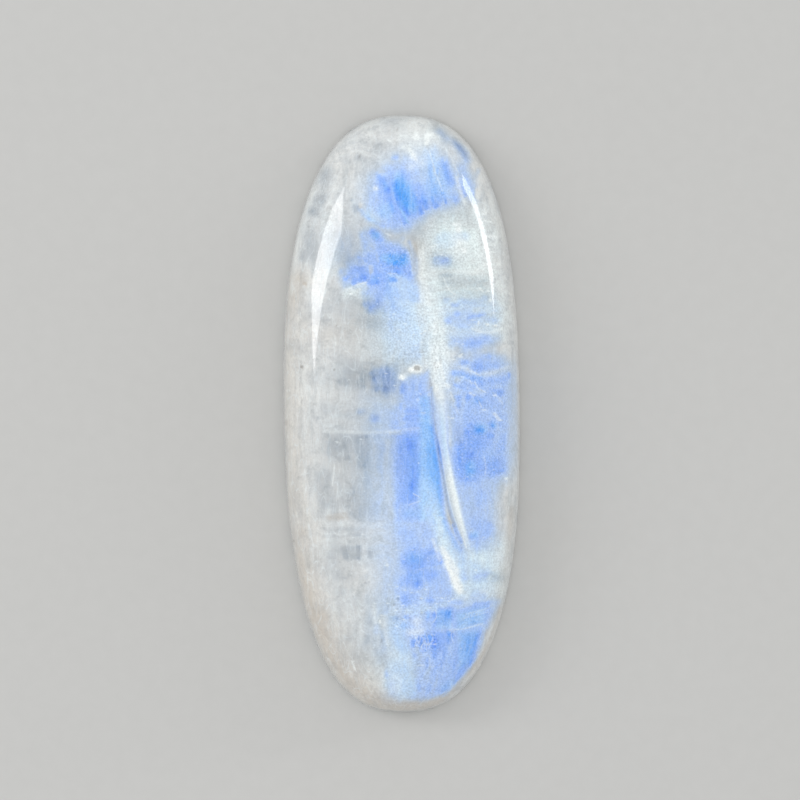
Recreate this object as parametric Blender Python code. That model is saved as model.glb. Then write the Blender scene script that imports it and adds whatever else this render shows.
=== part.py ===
"""A polished rainbow moonstone, cut as a long oval cabochon that lies on its flat back.

The stone is one solid: a low dome, a narrow wall that leans in a little all round its foot, and a flat back with a
bevelled edge. Its length runs along Y and its dome faces up +Z. The origin is the middle of the flat back.
Run with blender --background --python part.py, or from Blender's text editor.
"""

import math

import bmesh
import bpy

MM = 0.001

# Driving dimensions, in millimetres.
LENGTH = 46.0
WIDTH = 18.2
HEIGHT = 6.4
GIRDLE_HEIGHT = 2.2  # height of the corner where the dome meets the wall
WALL_LEAN = 0.35  # how far the wall leans in between its foot and that corner
DOME_SHIFT = -0.12  # the dome was cut this far off centre, so the wall shows more on the +X side
CREST_SHIFT = -0.4  # how much further off centre the top of the dome is
BACK_BEVEL_WIDTH = 0.55
BACK_BEVEL_HEIGHT = 0.50
GIRDLE_SOFTENING = 0.5  # share of the wall's height that the polished corner takes up
SHARPEST_SMOOTH = math.radians(40)  # faces that meet at more than this angle show a crisp edge

# The oval outline.
FULLNESS = 2.52  # 2 is an ellipse, and more than 2 is fuller at its four shoulders
TAPER = 0.013  # how much wider the +Y half is than the -Y half
SWAY = 0.12  # millimetres that the hand-cut centre line wanders to each side
SWAY_TURNS = 2.98
SWAY_START = 0.47

# The dome is the top of an ellipse that is cut off at this share of its radius.
DOME_CUT = 0.96
DOME_BREADTH = 1.25  # 1 is an ellipse, and more is flatter on top and rounder at the shoulders
DOME_END = 0.965  # share of the dome's radius where the polished corner begins

# The mesh is a flat round sheet of faces first: a grid in the middle, and rings around it.
GRID_ACROSS = 16
GRID_ALONG = 40
GRID_RADIUS = 0.55
GRID_SQUARENESS = 2.6  # 2 bends the grid's edge to a true circle, and more keeps its corners squarer
DOME_RINGS = 8
CORNER_RINGS = 3
BEVEL_RINGS = 3
RING_STEP = 0.1  # spacing on the flat sheet of the rings past the dome

HALF_WIDTH = WIDTH / 2
HALF_LENGTH = LENGTH / 2


def dome_height(radius):
    """Height of the dome above the back, at a share of its radius from 0 at the top to 1 at the corner."""
    lowest = math.sqrt(1 - DOME_CUT**2)
    share = (math.sqrt(1 - (DOME_CUT * radius**DOME_BREADTH) ** 2) - lowest) / (1 - lowest)
    return GIRDLE_HEIGHT + (HEIGHT - GIRDLE_HEIGHT) * share


def dome_ring(radius):
    """Half width, half length and height of the dome's outline at a share of its radius."""
    return (
        (HALF_WIDTH - WALL_LEAN) * radius,
        (HALF_LENGTH - WALL_LEAN) * radius,
        dome_height(radius),
    )


def wall_ring(share):
    """Half width, half length and height of the wall, from 0 at the dome's corner to 1 at the top of the bevel."""
    lean = WALL_LEAN * (1 - share)
    height = GIRDLE_HEIGHT + (BACK_BEVEL_HEIGHT - GIRDLE_HEIGHT) * share
    return HALF_WIDTH - lean, HALF_LENGTH - lean, height


def back_ring():
    """The edge of the flat back."""
    return HALF_WIDTH - BACK_BEVEL_WIDTH, HALF_LENGTH - BACK_BEVEL_WIDTH, 0.0


def curve_through(start, corner, end, share):
    """A point on the smooth curve that leaves start towards corner and reaches end."""
    near = (1 - share) ** 2
    middle = 2 * share * (1 - share)
    far = share**2
    return tuple(near * a + middle * b + far * c for a, b, c in zip(start, corner, end))


def edge_rings():
    """The rings past the dome: its polished corner, the wall, and the bevel round to the flat back."""
    rings = [
        curve_through(dome_ring(DOME_END), dome_ring(1.0), wall_ring(GIRDLE_SOFTENING), i / CORNER_RINGS)
        for i in range(1, CORNER_RINGS + 1)
    ]
    wall_foot = wall_ring(1.0)
    square_corner = (HALF_WIDTH, HALF_LENGTH, 0.0)
    rings += [
        curve_through(wall_foot, square_corner, back_ring(), i / BEVEL_RINGS)
        for i in range(BEVEL_RINGS + 1)
    ]
    return rings


def outline_place(turn, half_width, half_length, roundness):
    """Where a ring of these half sizes passes at this turn. Roundness 0 gives an ellipse and 1 the full outline."""
    side = math.cos(turn)
    along = math.sin(turn)
    full = (abs(side) ** FULLNESS + abs(along) ** FULLNESS) ** (-1 / FULLNESS)
    scale = 1 + roundness * (full - 1)
    y = half_length * along * scale
    reach = y / HALF_LENGTH
    x = half_width * side * scale * (1 + TAPER * reach)
    return x - SWAY * math.sin(SWAY_TURNS * reach + SWAY_START), y


def surface_place(u, v, rings):
    """Moves a point of the flat sheet to the stone's surface."""
    radius = math.hypot(u, v)
    turn = math.atan2(v, u)
    if radius <= 1 + 1e-6:
        share = DOME_END * min(radius, 1.0)
        half_width, half_length, z = dome_ring(share)
        x, y = outline_place(turn, half_width, half_length, share**2)
        return x + DOME_SHIFT + CREST_SHIFT * (1 - share**2), y, z
    number = round((radius - 1) / RING_STEP)
    half_width, half_length, z = rings[number - 1]
    x, y = outline_place(turn, half_width, half_length, 1.0)
    # The dome's shift fades out down the wall, whose foot has the true outline.
    height_share = max(0.0, z - BACK_BEVEL_HEIGHT) / (GIRDLE_HEIGHT - BACK_BEVEL_HEIGHT)
    return x + DOME_SHIFT * min(1.0, height_share), y, z


def round_grid(bm):
    """The middle of the flat sheet: a grid whose outer edge is bent part of the way to a circle."""
    bmesh.ops.create_grid(bm, x_segments=GRID_ACROSS, y_segments=GRID_ALONG, size=1.0)
    for vert in bm.verts:
        u, v = vert.co.x, vert.co.y
        vert.co.x = GRID_RADIUS * u * math.sqrt(1 - v * v / GRID_SQUARENESS)
        vert.co.y = GRID_RADIUS * v * math.sqrt(1 - u * u / GRID_SQUARENESS)


def open_edges(bm):
    return [edge for edge in bm.edges if edge.is_boundary]


def add_ring(bm, new_radius):
    """Extrudes the sheet's open edge outwards, to the radius that new_radius gives for the old one."""
    made = bmesh.ops.extrude_edge_only(bm, edges=open_edges(bm))
    for item in made["geom"]:
        if isinstance(item, bmesh.types.BMVert):
            old = math.hypot(item.co.x, item.co.y)
            scale = new_radius(old) / old
            item.co.x *= scale
            item.co.y *= scale


def flat_sheet(bm, edge_ring_count):
    round_grid(bm)
    for left in range(DOME_RINGS, 0, -1):
        # Each ring crosses an equal share of what is left between the grid and the dome's edge.
        add_ring(bm, lambda old, left=left: old + (1 - old) / left)
    for number in range(1, edge_ring_count + 1):
        add_ring(bm, lambda old, number=number: 1 + RING_STEP * number)


def centre_on_origin(bm):
    """Puts the middle of the stone's box over the origin."""
    for axis in (0, 1):
        places = [vert.co[axis] for vert in bm.verts]
        middle = (min(places) + max(places)) / 2
        for vert in bm.verts:
            vert.co[axis] -= middle


def moonstone_mesh():
    rings = edge_rings()
    bm = bmesh.new()
    flat_sheet(bm, len(rings))
    for vert in bm.verts:
        vert.co = surface_place(vert.co.x, vert.co.y, rings)
    bmesh.ops.edgeloop_fill(bm, edges=open_edges(bm))
    bmesh.ops.recalc_face_normals(bm, faces=bm.faces)
    centre_on_origin(bm)
    bmesh.ops.scale(bm, vec=(MM, MM, MM), verts=bm.verts)
    mesh = bpy.data.meshes.new("moonstone")
    bm.to_mesh(mesh)
    bm.free()
    mesh.shade_smooth()
    mesh.set_sharp_from_angle(angle=SHARPEST_SMOOTH)
    return mesh


def moonstone_material():
    """Milky feldspar under a glassy polish, with a blue sheen."""
    material = bpy.data.materials.new("moonstone")
    material.use_nodes = True
    surface = material.node_tree.nodes["Principled BSDF"]
    surface.inputs["Base Color"].default_value = (0.52, 0.62, 0.78, 1.0)
    surface.inputs["Roughness"].default_value = 0.08
    surface.inputs["Metallic"].default_value = 0.0
    surface.inputs["IOR"].default_value = 1.53
    return material


def clear_scene():
    for obj in list(bpy.data.objects):
        bpy.data.objects.remove(obj, do_unlink=True)


def main():
    clear_scene()
    collection = bpy.data.collections.new("moonstone")
    bpy.context.scene.collection.children.link(collection)
    stone = bpy.data.objects.new("moonstone", moonstone_mesh())
    stone.data.materials.append(moonstone_material())
    collection.objects.link(stone)


main()
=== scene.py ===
"""A polished rainbow moonstone cabochon, long and oval, lying on its flat back, dome up."""

import math

import bmesh
import bpy
import numpy as np
from mathutils import Matrix, Vector, noise


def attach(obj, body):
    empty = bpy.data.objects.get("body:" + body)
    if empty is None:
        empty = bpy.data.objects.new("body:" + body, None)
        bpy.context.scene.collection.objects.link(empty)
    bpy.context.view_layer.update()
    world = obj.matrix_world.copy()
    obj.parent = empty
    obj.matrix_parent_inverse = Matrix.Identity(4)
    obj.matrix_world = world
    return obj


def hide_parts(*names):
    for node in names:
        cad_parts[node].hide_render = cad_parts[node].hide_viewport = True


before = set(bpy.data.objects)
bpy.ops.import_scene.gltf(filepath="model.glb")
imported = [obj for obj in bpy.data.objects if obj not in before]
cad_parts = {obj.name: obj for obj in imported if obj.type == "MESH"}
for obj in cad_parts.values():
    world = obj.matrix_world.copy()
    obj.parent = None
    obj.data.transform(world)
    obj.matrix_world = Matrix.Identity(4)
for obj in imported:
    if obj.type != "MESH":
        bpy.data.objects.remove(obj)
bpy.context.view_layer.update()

# ---------------------------------------------------------------------------------------------
# The stone. One piece of milky feldspar, sawn from a slab, ground to a long oval on a wheel,
# domed by hand and polished with oxide: a low dome, a narrow wall all round that leans in a
# little, and a flat back with a rounded edge. Nothing holds it, and it lies loose on its back.

# Its shape. Lengths are in millimetres.
MM = 0.001
LENGTH = 46.0
WIDTH = 18.2
HEIGHT = 6.4
GIRDLE_HEIGHT = 2.2  # height of the corner where the dome meets the wall
WALL_LEAN = 0.35
DOME_SHIFT = -0.12  # the dome was cut this far off centre
CREST_SHIFT = -0.4  # how much further off centre the top of the dome is
BACK_BEVEL_WIDTH = 0.55
BACK_BEVEL_HEIGHT = 0.50
GIRDLE_SOFTENING = 0.5  # share of the wall's height that the polished corner takes up
SHARPEST_SMOOTH = math.radians(40)
FULLNESS = 2.52  # 2 is an ellipse, and more is fuller at its four shoulders
TAPER = 0.013  # how much wider the +Y half is than the -Y half
SWAY = 0.12  # how far the hand-cut centre line wanders to each side
SWAY_TURNS = 2.98  # radians of its wave from the middle of the stone to an end
SWAY_START = 0.47  # radians of its wave at the middle of the stone
DOME_CUT = 0.96  # the dome is the top of an ellipse, cut off at this share of its radius
DOME_BREADTH = 1.25  # 1 is an ellipse, and more is flatter on top
DOME_END = 0.965  # share of the dome's radius where the polished corner begins
POLISH_WAVES = 0.004  # how far the hand-held polish wanders from a true dome
POLISH_WAVE_WIDTH = 3.5
POLISH_WAVE_LENGTH = 6.0

# The mesh is a flat round sheet of faces first: a grid in the middle, and rings around it.
GRID_ACROSS = 150
GRID_ALONG = 385
GRID_RADIUS = 0.8
GRID_SQUARENESS = 2.6  # 2 bends the grid's edge to a true circle
DOME_RINGS = 16
CORNER_RINGS = 6
BEVEL_RINGS = 6
RING_STEP = 0.1  # spacing on the flat sheet of the rings past the dome

HALF_WIDTH = WIDTH / 2
HALF_LENGTH = LENGTH / 2


def dome_ring(radius):
    """Half width, half length and height of the dome's outline at a share of its radius."""
    lowest = math.sqrt(1 - DOME_CUT**2)
    share = (math.sqrt(1 - (DOME_CUT * radius**DOME_BREADTH) ** 2) - lowest) / (1 - lowest)
    height = GIRDLE_HEIGHT + (HEIGHT - GIRDLE_HEIGHT) * share
    return (HALF_WIDTH - WALL_LEAN) * radius, (HALF_LENGTH - WALL_LEAN) * radius, height


def wall_ring(share):
    """The same for the wall, from 0 at the dome's corner to 1 at the top of the back's bevel."""
    lean = WALL_LEAN * (1 - share)
    height = GIRDLE_HEIGHT + (BACK_BEVEL_HEIGHT - GIRDLE_HEIGHT) * share
    return HALF_WIDTH - lean, HALF_LENGTH - lean, height


def curve_through(start, corner, end, share):
    """A point on the smooth curve that leaves start towards corner and reaches end."""
    weights = ((1 - share) ** 2, 2 * share * (1 - share), share**2)
    return tuple(sum(w * v for w, v in zip(weights, values)) for values in zip(start, corner, end))


def outline_place(turn, half_width, half_length, roundness):
    """Where a ring of these half sizes passes at this turn; roundness 1 is the full outline."""
    side, along = math.cos(turn), math.sin(turn)
    full = (abs(side) ** FULLNESS + abs(along) ** FULLNESS) ** (-1 / FULLNESS)
    scale = 1 + roundness * (full - 1)
    y = half_length * along * scale
    reach = y / HALF_LENGTH
    x = half_width * side * scale * (1 + TAPER * reach)
    return x - SWAY * math.sin(SWAY_TURNS * reach + SWAY_START), y


corner = (dome_ring(DOME_END), dome_ring(1.0), wall_ring(GIRDLE_SOFTENING))
corner_rings = [curve_through(*corner, i / CORNER_RINGS) for i in range(1, CORNER_RINGS + 1)]
flat_edge = (HALF_WIDTH - BACK_BEVEL_WIDTH, HALF_LENGTH - BACK_BEVEL_WIDTH, 0.0)
bevel_rings = [
    curve_through(wall_ring(1.0), (HALF_WIDTH, HALF_LENGTH, 0.0), flat_edge, i / BEVEL_RINGS)
    for i in range(BEVEL_RINGS + 1)
]
edge_rings = corner_rings + bevel_rings


def surface_place(u, v):
    """Where a point of the flat round sheet lies on the stone's surface, in millimetres."""
    radius = math.hypot(u, v)
    turn = math.atan2(v, u)
    if radius <= 1 + 1e-6:
        share = DOME_END * min(radius, 1.0)
        half_width, half_length, z = dome_ring(share)
        x, y = outline_place(turn, half_width, half_length, share**2)
        wave = noise.noise(Vector((x / POLISH_WAVE_WIDTH, y / POLISH_WAVE_LENGTH, 0)))
        x += DOME_SHIFT + CREST_SHIFT * (1 - share**2)
        return x, y, z + POLISH_WAVES * wave * (1 - share**4)
    half_width, half_length, z = edge_rings[round((radius - 1) / RING_STEP) - 1]
    x, y = outline_place(turn, half_width, half_length, 1.0)
    above_foot = max(0.0, z - BACK_BEVEL_HEIGHT) / (GIRDLE_HEIGHT - BACK_BEVEL_HEIGHT)
    return x + DOME_SHIFT * min(1.0, above_foot), y, z


def add_ring(bm, new_radius):
    """Extrudes the sheet's open edge outwards, to the radius that new_radius gives for the old."""
    rim = [edge for edge in bm.edges if edge.is_boundary]
    made = bmesh.ops.extrude_edge_only(bm, edges=rim)
    for vert in (item for item in made["geom"] if isinstance(item, bmesh.types.BMVert)):
        old = vert.co.to_2d().length
        vert.co *= new_radius(old) / old


bm = bmesh.new()
bmesh.ops.create_grid(bm, x_segments=GRID_ACROSS, y_segments=GRID_ALONG, size=1.0)
for vert in bm.verts:
    u, v = vert.co.x, vert.co.y
    vert.co.x = GRID_RADIUS * u * math.sqrt(1 - v * v / GRID_SQUARENESS)
    vert.co.y = GRID_RADIUS * v * math.sqrt(1 - u * u / GRID_SQUARENESS)
for rings_left in range(DOME_RINGS, 0, -1):
    add_ring(bm, lambda old: old + (1 - old) / rings_left)
for number in range(1, len(edge_rings) + 1):
    add_ring(bm, lambda old: 1 + RING_STEP * number)
for vert in bm.verts:
    vert.co = surface_place(vert.co.x, vert.co.y)
bmesh.ops.edgeloop_fill(bm, edges=[edge for edge in bm.edges if edge.is_boundary])
bmesh.ops.recalc_face_normals(bm, faces=bm.faces)
for axis in (0, 1):
    spots = [vert.co[axis] for vert in bm.verts]
    middle = (min(spots) + max(spots)) / 2
    for vert in bm.verts:
        vert.co[axis] -= middle
bmesh.ops.scale(bm, vec=(MM, MM, MM), verts=bm.verts)
stone_mesh = bpy.data.meshes.new("polished_moonstone")
bm.to_mesh(stone_mesh)
bm.free()
stone_mesh.shade_smooth()
stone_mesh.set_sharp_from_angle(angle=SHARPEST_SMOOTH)
stone = bpy.data.objects.new("polished_moonstone", stone_mesh)
bpy.context.scene.collection.objects.link(stone)

# What lies inside it. Feldspar of two kinds has parted into layers thinner than light's
# wavelength, and where they face up they glow blue; that glow is painted into the colour as a
# sheen. Cleavage cracks, healed veils and one long open fracture cut them into patches. Each
# marking is (strength, softness, points), in mm from the stone's middle: points of x and y are a
# closed outline, and points of x, y and half width are a line, or a round spot where there is only
# one.

# Painted shade in the clear windows, standing for the dark behind the stone showing through.
SEE_THROUGH_SHADE = (
    (0.73, 1.05, (-5.96, 18.06, 0.34), (-5.84, 18.38, 0.34)),
    (0.55, 0.52, (-6.31, 16.54, 0.24), (-5.99, 16.65, 0.24)),
    (0.56, 0.92, (-6.91, 15.5, 0.39), (-6.61, 15.58, 0.39)),
    (0.52, 0.37, (-3.51, 19.68, 0.14), (-3, 19.55, 0.14)),
    (0.26, 0.7, (-6.91, 12.69, 0.58), (-7.04, 14.18, 0.58)),
    (0.13, 0.6, (-7.34, 11.96, 0.39), (-7.34, 12.15, 0.39)),
    (0.39, 0.49, (-2.38, 20.62, 0.24), (-1.72, 20.5, 0.24)),
    (0.16, 0.15, (-4.23, 18.74, 0.12), (-4.09, 18.61, 0.12)),
    (0.72, 3, (-4.1, 11.87, 0.54), (-4.37, 13.41, 0.54)),
    (0.61, 0.29, (-3.5, 15.57, 0.1), (-3.61, 15.89, 0.1)),
    (0.67, 3, (2.67, 11.95, 0.19), (3.44, 11.88, 0.19)),
    (0.32, 0.23, (-2.68, 8.38, 0.41), (-2.06, 8.38, 0.41)),
    (0.29, 3, (-5.36, 8.03, 0.27), (-5.36, 8.47, 0.27)),
    (0.85, 0.91, (3.43, 10.06, 0.17), (6.22, 10.06, 0.17)),
    (0.52, 1.13, (3.43, 9.18, 0.14), (6.51, 9.18, 0.14)),
    (0.64, 0.27, (3.08, 10.58, 0.17), (3.71, 10.58, 0.17)),
    (0.15, 0.43, (-2.13, 12.66, 0.36), (-1.17, 12.66, 0.36)),
    (0.74, 0.63, (2.55, 22.06, 0.22), (3.21, 21.34, 0.19)),
    (0.54, 0.22, (3.97, 21.17, 0.14), (4.45, 20.57, 0.24), (5, 19.73, 0.14)),
    (0.25, 1.06, (-0.59, 22.1, 0.36), (0.14, 22.1, 0.36)),
    (0.93, 3, (-2.81, 7.48, 0.41), (-2.48, 7.43, 0.41)),
    (0.64, 0.62, (-2.34, 6.83, 0.24), (-1.86, 6.83, 0.24)),
    (0.62, 3, (-4.88, 2.57), (-4.46, 2.99), (-3.85, 3.41), (-3.25, 3.77), (-2.53, 4.07),
        (-1.56, 4.07), (-0.84, 3.89), (-0.36, 3.65), (-0.3, 2.57), (-0.84, 1.6), (-1.81, 1.6),
        (-2.53, 2.08), (-3.37, 2.02), (-4.22, 2.08)),
    (0.55, 0.21, (-4.7, 2.42, 0.27), (-4.26, 2.38, 0.27)),
    (0.71, 0.82, (-3.73, 3.2, 0.31), (-3.44, 3.37, 0.31)),
    (0.79, 0.62, (-3.4, 2.33, 0.24), (-3.02, 2.33, 0.24)),
    (1, 0.64, (-2.22, 2.93, 0.29), (-1.98, 2.93, 0.29)),
    (0.78, 0.46, (-1.97, 1.94, 0.24), (-1.2, 2.01, 0.24)),
    (0.73, 1.56, (-0.89, 2.46, 0.31), (-0.89, 2.79, 0.31)),
    (0.58, 0.97, (-3.3, 0.06, 0.27), (-2.73, 0.06, 0.27)),
    (0.52, 0.23, (-2.08, -0.35, 0.19), (-1.98, -0.35, 0.19)),
    (0.41, 0.55, (-6.03, -1.59), (-2.68, -1.62), (-2.5, -2.34), (-2.65, -4.03), (-3.64, -4.21),
        (-4.12, -4.27), (-4.6, -3.85), (-5.27, -3.73), (-5.59, -2.82)),
    (0, 0.41, (-5.38, -2, 0.27), (-5.1, -2, 0.27)),
    (0.73, 3, (-5.21, -2.84, 0.36), (-5.13, -2.61, 0.36)),
    (0.56, 0.26, (-4.42, -3.38, 0.29), (-3.95, -3.47, 0.29)),
    (0.24, 0.49, (-3.25, -2.91, 0.48), (-3.25, -2.43, 0.48)),
    (0.84, 0.65, (-5.92, -4.76, 0.29), (-5.63, -4.76, 0.29)),
    (0.51, 0.62, (-6.16, -5.61, 0.48), (-6.06, -5.26, 0.48)),
    (0.32, 0.71, (-3.04, -5.54, 0.6), (-3.13, -5.06, 0.6)),
    (0.45, 3, (-2.53, -1.55), (-0.54, -1.55), (-0.6, -3.96), (-2.71, -4.08)),
    (0.34, 1.12, (-6.06, -4.09), (-2.2, -4.09), (-2.2, -7.59), (-6.06, -7.59)),
    (0.26, 0.27, (-6.07, -7.32, 0.24), (-6.07, -6.84, 0.24)),
    (0.25, 0.19, (-4.78, -6.85, 0.12), (-4.99, -5.66, 0.12)),
    (0.35, 0.63, (-8.4, 5.26, 0.31), (-7.97, 5.1, 0.31)),
    (0.27, 0.19, (-4.19, -0.11, 0.22), (-3.97, 0.08, 0.22)),
    (0.21, 0.21, (-7.79, 0.22, 0.19), (-7.76, 0.26, 0.19)),
    (0.34, 0.2, (-6.78, -0.21, 0.1), (-6.38, -0.36, 0.1)),
    (0.43, 0.14, (-6.07, 7.21, 0.07), (-5.49, 7.21, 0.07)),
    (0.11, 0.4, (4.4, 0.58, 0.24), (4.3, 1.18, 0.24)),
    (0.24, 0.35, (4.36, -2.15, 0.27), (4.36, -1.23, 0.27)),
    (0.14, 0.17, (-5.92, -7.42, 0.1), (-4.42, -7.42, 0.1)),
    (0.63, 0.17, (-4.67, -10.2), (-4.13, -10.13), (-4.01, -11.13), (-4.13, -11.29),
        (-4.49, -11.13)),
    (0.56, 0.13, (-3.47, -10.07), (-3.09, -10.07), (-3.11, -11.01), (-3.17, -11.23),
        (-3.57, -11.16)),
    (0.32, 0.14, (-4.15, -10.12), (-3.43, -10.12), (-3.48, -11.26), (-4.03, -11.26)),
    (0.49, 0.23, (-2.39, -10.9, 0.12), (-2.39, -10.46, 0.12)),
    (0.53, 0.26, (-4.03, -9.28, 0.05), (-3.16, -9.28, 0.05)),
    (0.43, 0.37, (-5.08, -8.84, 0.04), (-2.98, -8.84, 0.04)),
    (0.57, 2.72, (-4.98, -10.66, 0.29), (-4.98, -10.51, 0.29)),
    (0.35, 0.86, (-1.6, -18.67, 0.41), (-1.6, -18.38, 0.41)),
    (0.04, 0.35, (-1.86, -17.98, 0.17), (-1.86, -17.35, 0.17)),
    (0.43, 2.93, (-3.02, -17.37, 0.27), (-3.02, -15, 0.27)),
    (0.62, 1.39, (-4.9, -12.58, 0.07), (-4.09, -12.46, 0.07)),
    (0.13, 0.27, (-0.98, -14.96, 0.22), (-0.98, -14.67, 0.22)),
    (0.1, 0.4, (-2.67, -15.49, 0.36), (-2.67, -14.77, 0.36)),
    (0.81, 0.78, (6.99, -12.55, 0.1), (7.75, -12.66, 0.1)),
    (0.97, 0.09, (-6.11, 16.32, 0.12), (-6.05, 16.32, 0.12)),
    (0.54, 0.34, (-6.35, 16.39, 0.35), (-6.27, 16.39, 0.35)),
    (0.55, 0.17, (-6.76, 15.45, 0.31), (-6.68, 15.45, 0.31)),
    (0.42, 0.46, (-6.96, 12.42, 0.54), (-6.96, 13.65, 0.54)),
    (0.63, 0.34, (-7.6, 11.91, 0.23), (-7.6, 12.37, 0.23)),
    (0.45, 0.13, (-3.85, 16.41, 0.12), (-3.82, 16.41, 0.12)),
    (0.45, 0.09, (-3.34, 15.63, 0.09), (-3.34, 15.91, 0.09)),
    (0.32, 0.45, (-4.28, 13.02, 0.46), (-4.28, 13.64, 0.46)),
    (0.68, 0.12, (-4.28, -3.4, 0.12), (-4.03, -3.29, 0.12)),
    (0.55, 0.22, (-5.19, -2.43, 0.39), (-5.19, -2.12, 0.39)),
    (0.58, 0.22, (-6.06, -4.9), (-5.52, -4.44), (-5.36, -5.36), (-5.75, -5.67)),
    (0.48, 0.33, (-5.94, -6.73, 0.39), (-5.94, -5.8, 0.39)),
    (0.75, 0.73, (-4.02, -6.58, 0.31), (-4.02, -6.12, 0.31)),
    (0.43, 0.4, (-3.37, -7.51, 0.62), (-3.37, -7.36, 0.62)),
    (0.5, 0.21, (-3.65, -1.67), (-2.49, -1.59), (-2.52, -4.13), (-3.11, -4.29), (-3.49, -3.13)),
    (0.67, 0.12, (-3.25, -1.85, 0.09), (-2.66, -1.85, 0.09)),
    (0.39, 0.08, (-2.75, -12.98, 0.08), (-2.7, -12.98, 0.08)),
    (0.55, 0.11, (-4.5, -12.56, 0.07), (-4.17, -12.56, 0.07)),
    (0.47, 0.07, (-1.02, -14.98, 0.06), (-1.08, -14.8, 0.06)),
    (0.53, 0.09, (-0.58, -14.56, 0.08), (-0.55, -14.56, 0.08)),
    (0.6, 0.12, (-0.25, -14.21, 0.08), (-0.25, -14.18, 0.08)),
    (0.26, 0.11, (-2.62, -14.43, 0.15), (-2.62, -13.97, 0.15)),
    (0.24, 0.19, (-2.65, -16.25, 0.31), (-2.65, -15.32, 0.31)),
    (0.38, 0.18, (-2.71, -17.46, 0.31), (-2.71, -17.16, 0.31)),
    (0.35, 0.11, (-1.49, -17.31, 0.19)),
    (0.4, 0.1, (-1.98, -18.11, 0.15)),
    (0.34, 0.08, (-0.8, -15.55, 0.04), (-0.18, -15.54, 0.05)),
    (0.4, 0.17, (-0.69, -15.71, 0.2), (-0.47, -15.71, 0.2)),
    (0.41, 1.95, (-1.88, 14.16), (-0.8, 13.79), (0.16, 13.97), (1.13, 14.7), (2.09, 15.3),
        (3.54, 15.66), (4.62, 16.14), (5.23, 14.94), (4.5, 14.82), (3.42, 14.7), (2.45, 14.1),
        (1.61, 13.13), (1.31, 12.65), (0.89, 12.53), (-0.08, 13.07), (-0.8, 13.13)),
    (0.48, 1.48, (-5.24, 0.17, 0.46), (-4.94, 0.17, 0.46)),
    (0.64, 0.12, (-2.26, 3.17, 0.17), (-1.83, 3.17, 0.17)),
    (0.49, 0.14, (-1.2, 2.39, 0.19), (-1.2, 2.79, 0.19)),
    (0.58, 0.11, (-2.96, 2.25, 0.23)),
    (0.51, 0.15, (-2.77, 3.88, 0.12), (-2.09, 3.88, 0.12)),
    (0.24, 0.21, (-2.66, -12.55, 0.23), (-2.66, -12.4, 0.23)),
    (0.4, 0.53, (-4.59, -13.71, 0.31)),
    (0.48, 0.3, (-4.18, -17.24, 0.19), (-4.03, -17.24, 0.19)),
    (0.18, 0.23, (-4.51, 19.56, 0.31), (-4.08, 19.72, 0.31)),
    (0.05, 0.16, (-2.8, 20.26, 0.19), (-2.45, 20.46, 0.19)),
    (0.32, 0.09, (2.15, 1.47, 0.06), (2.32, -0.3, 0.06), (2.52, -1.69, 0.05)),
)
# The pale, milky sheen, which leans to aqua, painted into the colour.
AQUA_SHEEN_MARKINGS = (
    (0.31, 1.1, (1.77, 13.28), (2.61, 14.13), (3.69, 14.85), (5.02, 14.97), (6.1, 13.65),
        (6.35, 12.08), (5.98, 11.12), (3.82, 10.51), (1.77, 10.63), (1.65, 11.84)),
    (0.74, 1.77, (1.91, 10.58), (6.67, 10.82), (7.63, 7.58), (1.91, 7.58)),
    (0.38, 0.48, (-0.88, 9.76), (1.17, 10.24), (1.35, 7.6), (-1.6, 7.6)),
    (0.46, 0.41, (-4.24, 10.16), (-2.55, 10.04), (-2.55, 8.9), (-4.48, 8.9)),
    (0.23, 0.68, (-5.04, 10.96, 0.3), (-5.63, 15.13, 0.3)),
    (0.96, 2.83, (-1.77, 8.22), (1.24, 8.22), (1.84, 6.78), (1.72, 4.97), (0.64, 4), (-0.57, 4),
        (-1.41, 5.57)),
    (0.56, 0.51, (1.24, 8.26), (3.35, 8.26), (3.65, 6.21), (4.01, 4.41), (3.89, 2.96),
        (3.53, 1.76), (2.68, 2), (2.2, 3.2), (1.72, 5.01)),
    (0.57, 0.85, (3.65, 7.55), (7.74, 7.55), (7.74, 5.86), (3.89, 5.86)),
    (0, 1.07, (3.6, 4.85), (5.05, 4.36), (6.61, 2.92), (5.05, 0.27), (3.6, 0.75)),
    (0.14, 0.89, (-2.63, 0.76), (-0.1, 1.24), (0.02, -1.41), (-2.15, -1.53)),
    (0.07, 0.96, (-2.62, -1.67), (-0.33, -1.67), (-0.45, -7.81), (-3.35, -7.81)),
    (0, 0.82, (-2.86, -7.31), (-0.21, -7.31), (-0.09, -10.33), (-1.65, -14.18), (-2.62, -14.18),
        (-2.62, -10.33)),
    (1, 0.35, (1.62, -7.37), (2.89, -7.37), (3.73, -9.9), (4.33, -11.46), (4.81, -12.31),
        (4.45, -13.99), (3.61, -12.67), (2.89, -10.5), (2.04, -8.45)),
    (0.94, 1.52, (4.56, -10.07), (7.45, -10.07), (7.45, -13.56), (6.25, -14.16), (4.32, -14.04),
        (4.2, -12.36)),
    (0.18, 0.79, (-2.31, -14.15), (-0.26, -13.67), (1.42, -14.15), (-0.99, -18.25),
        (-0.99, -21.86), (-2.43, -20.66)),
    (0.45, 0.32, (-1.08, -19.47), (0.97, -18.87), (1.21, -21.88), (-0.11, -22.06),
        (-1.44, -20.92)),
    (0.49, 0.41, (-0.92, -17.77), (1.01, -18.25), (0.89, -19.58), (-0.92, -19.58)),
    (1, 0.93, (0.54, -14.21), (3.44, -14.33), (3.92, -15.17), (0.66, -15.29)),
    (0.92, 3, (4.36, 13.56, 1.54), (4.67, 13.56, 1.54)),
    (1, 0.6, (3.38, 13.44, 0.62), (3.53, 13.44, 0.62)),
    (0.39, 0.31, (4.91, 14.76, 0.54), (5.68, 14.76, 0.54)),
)
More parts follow.
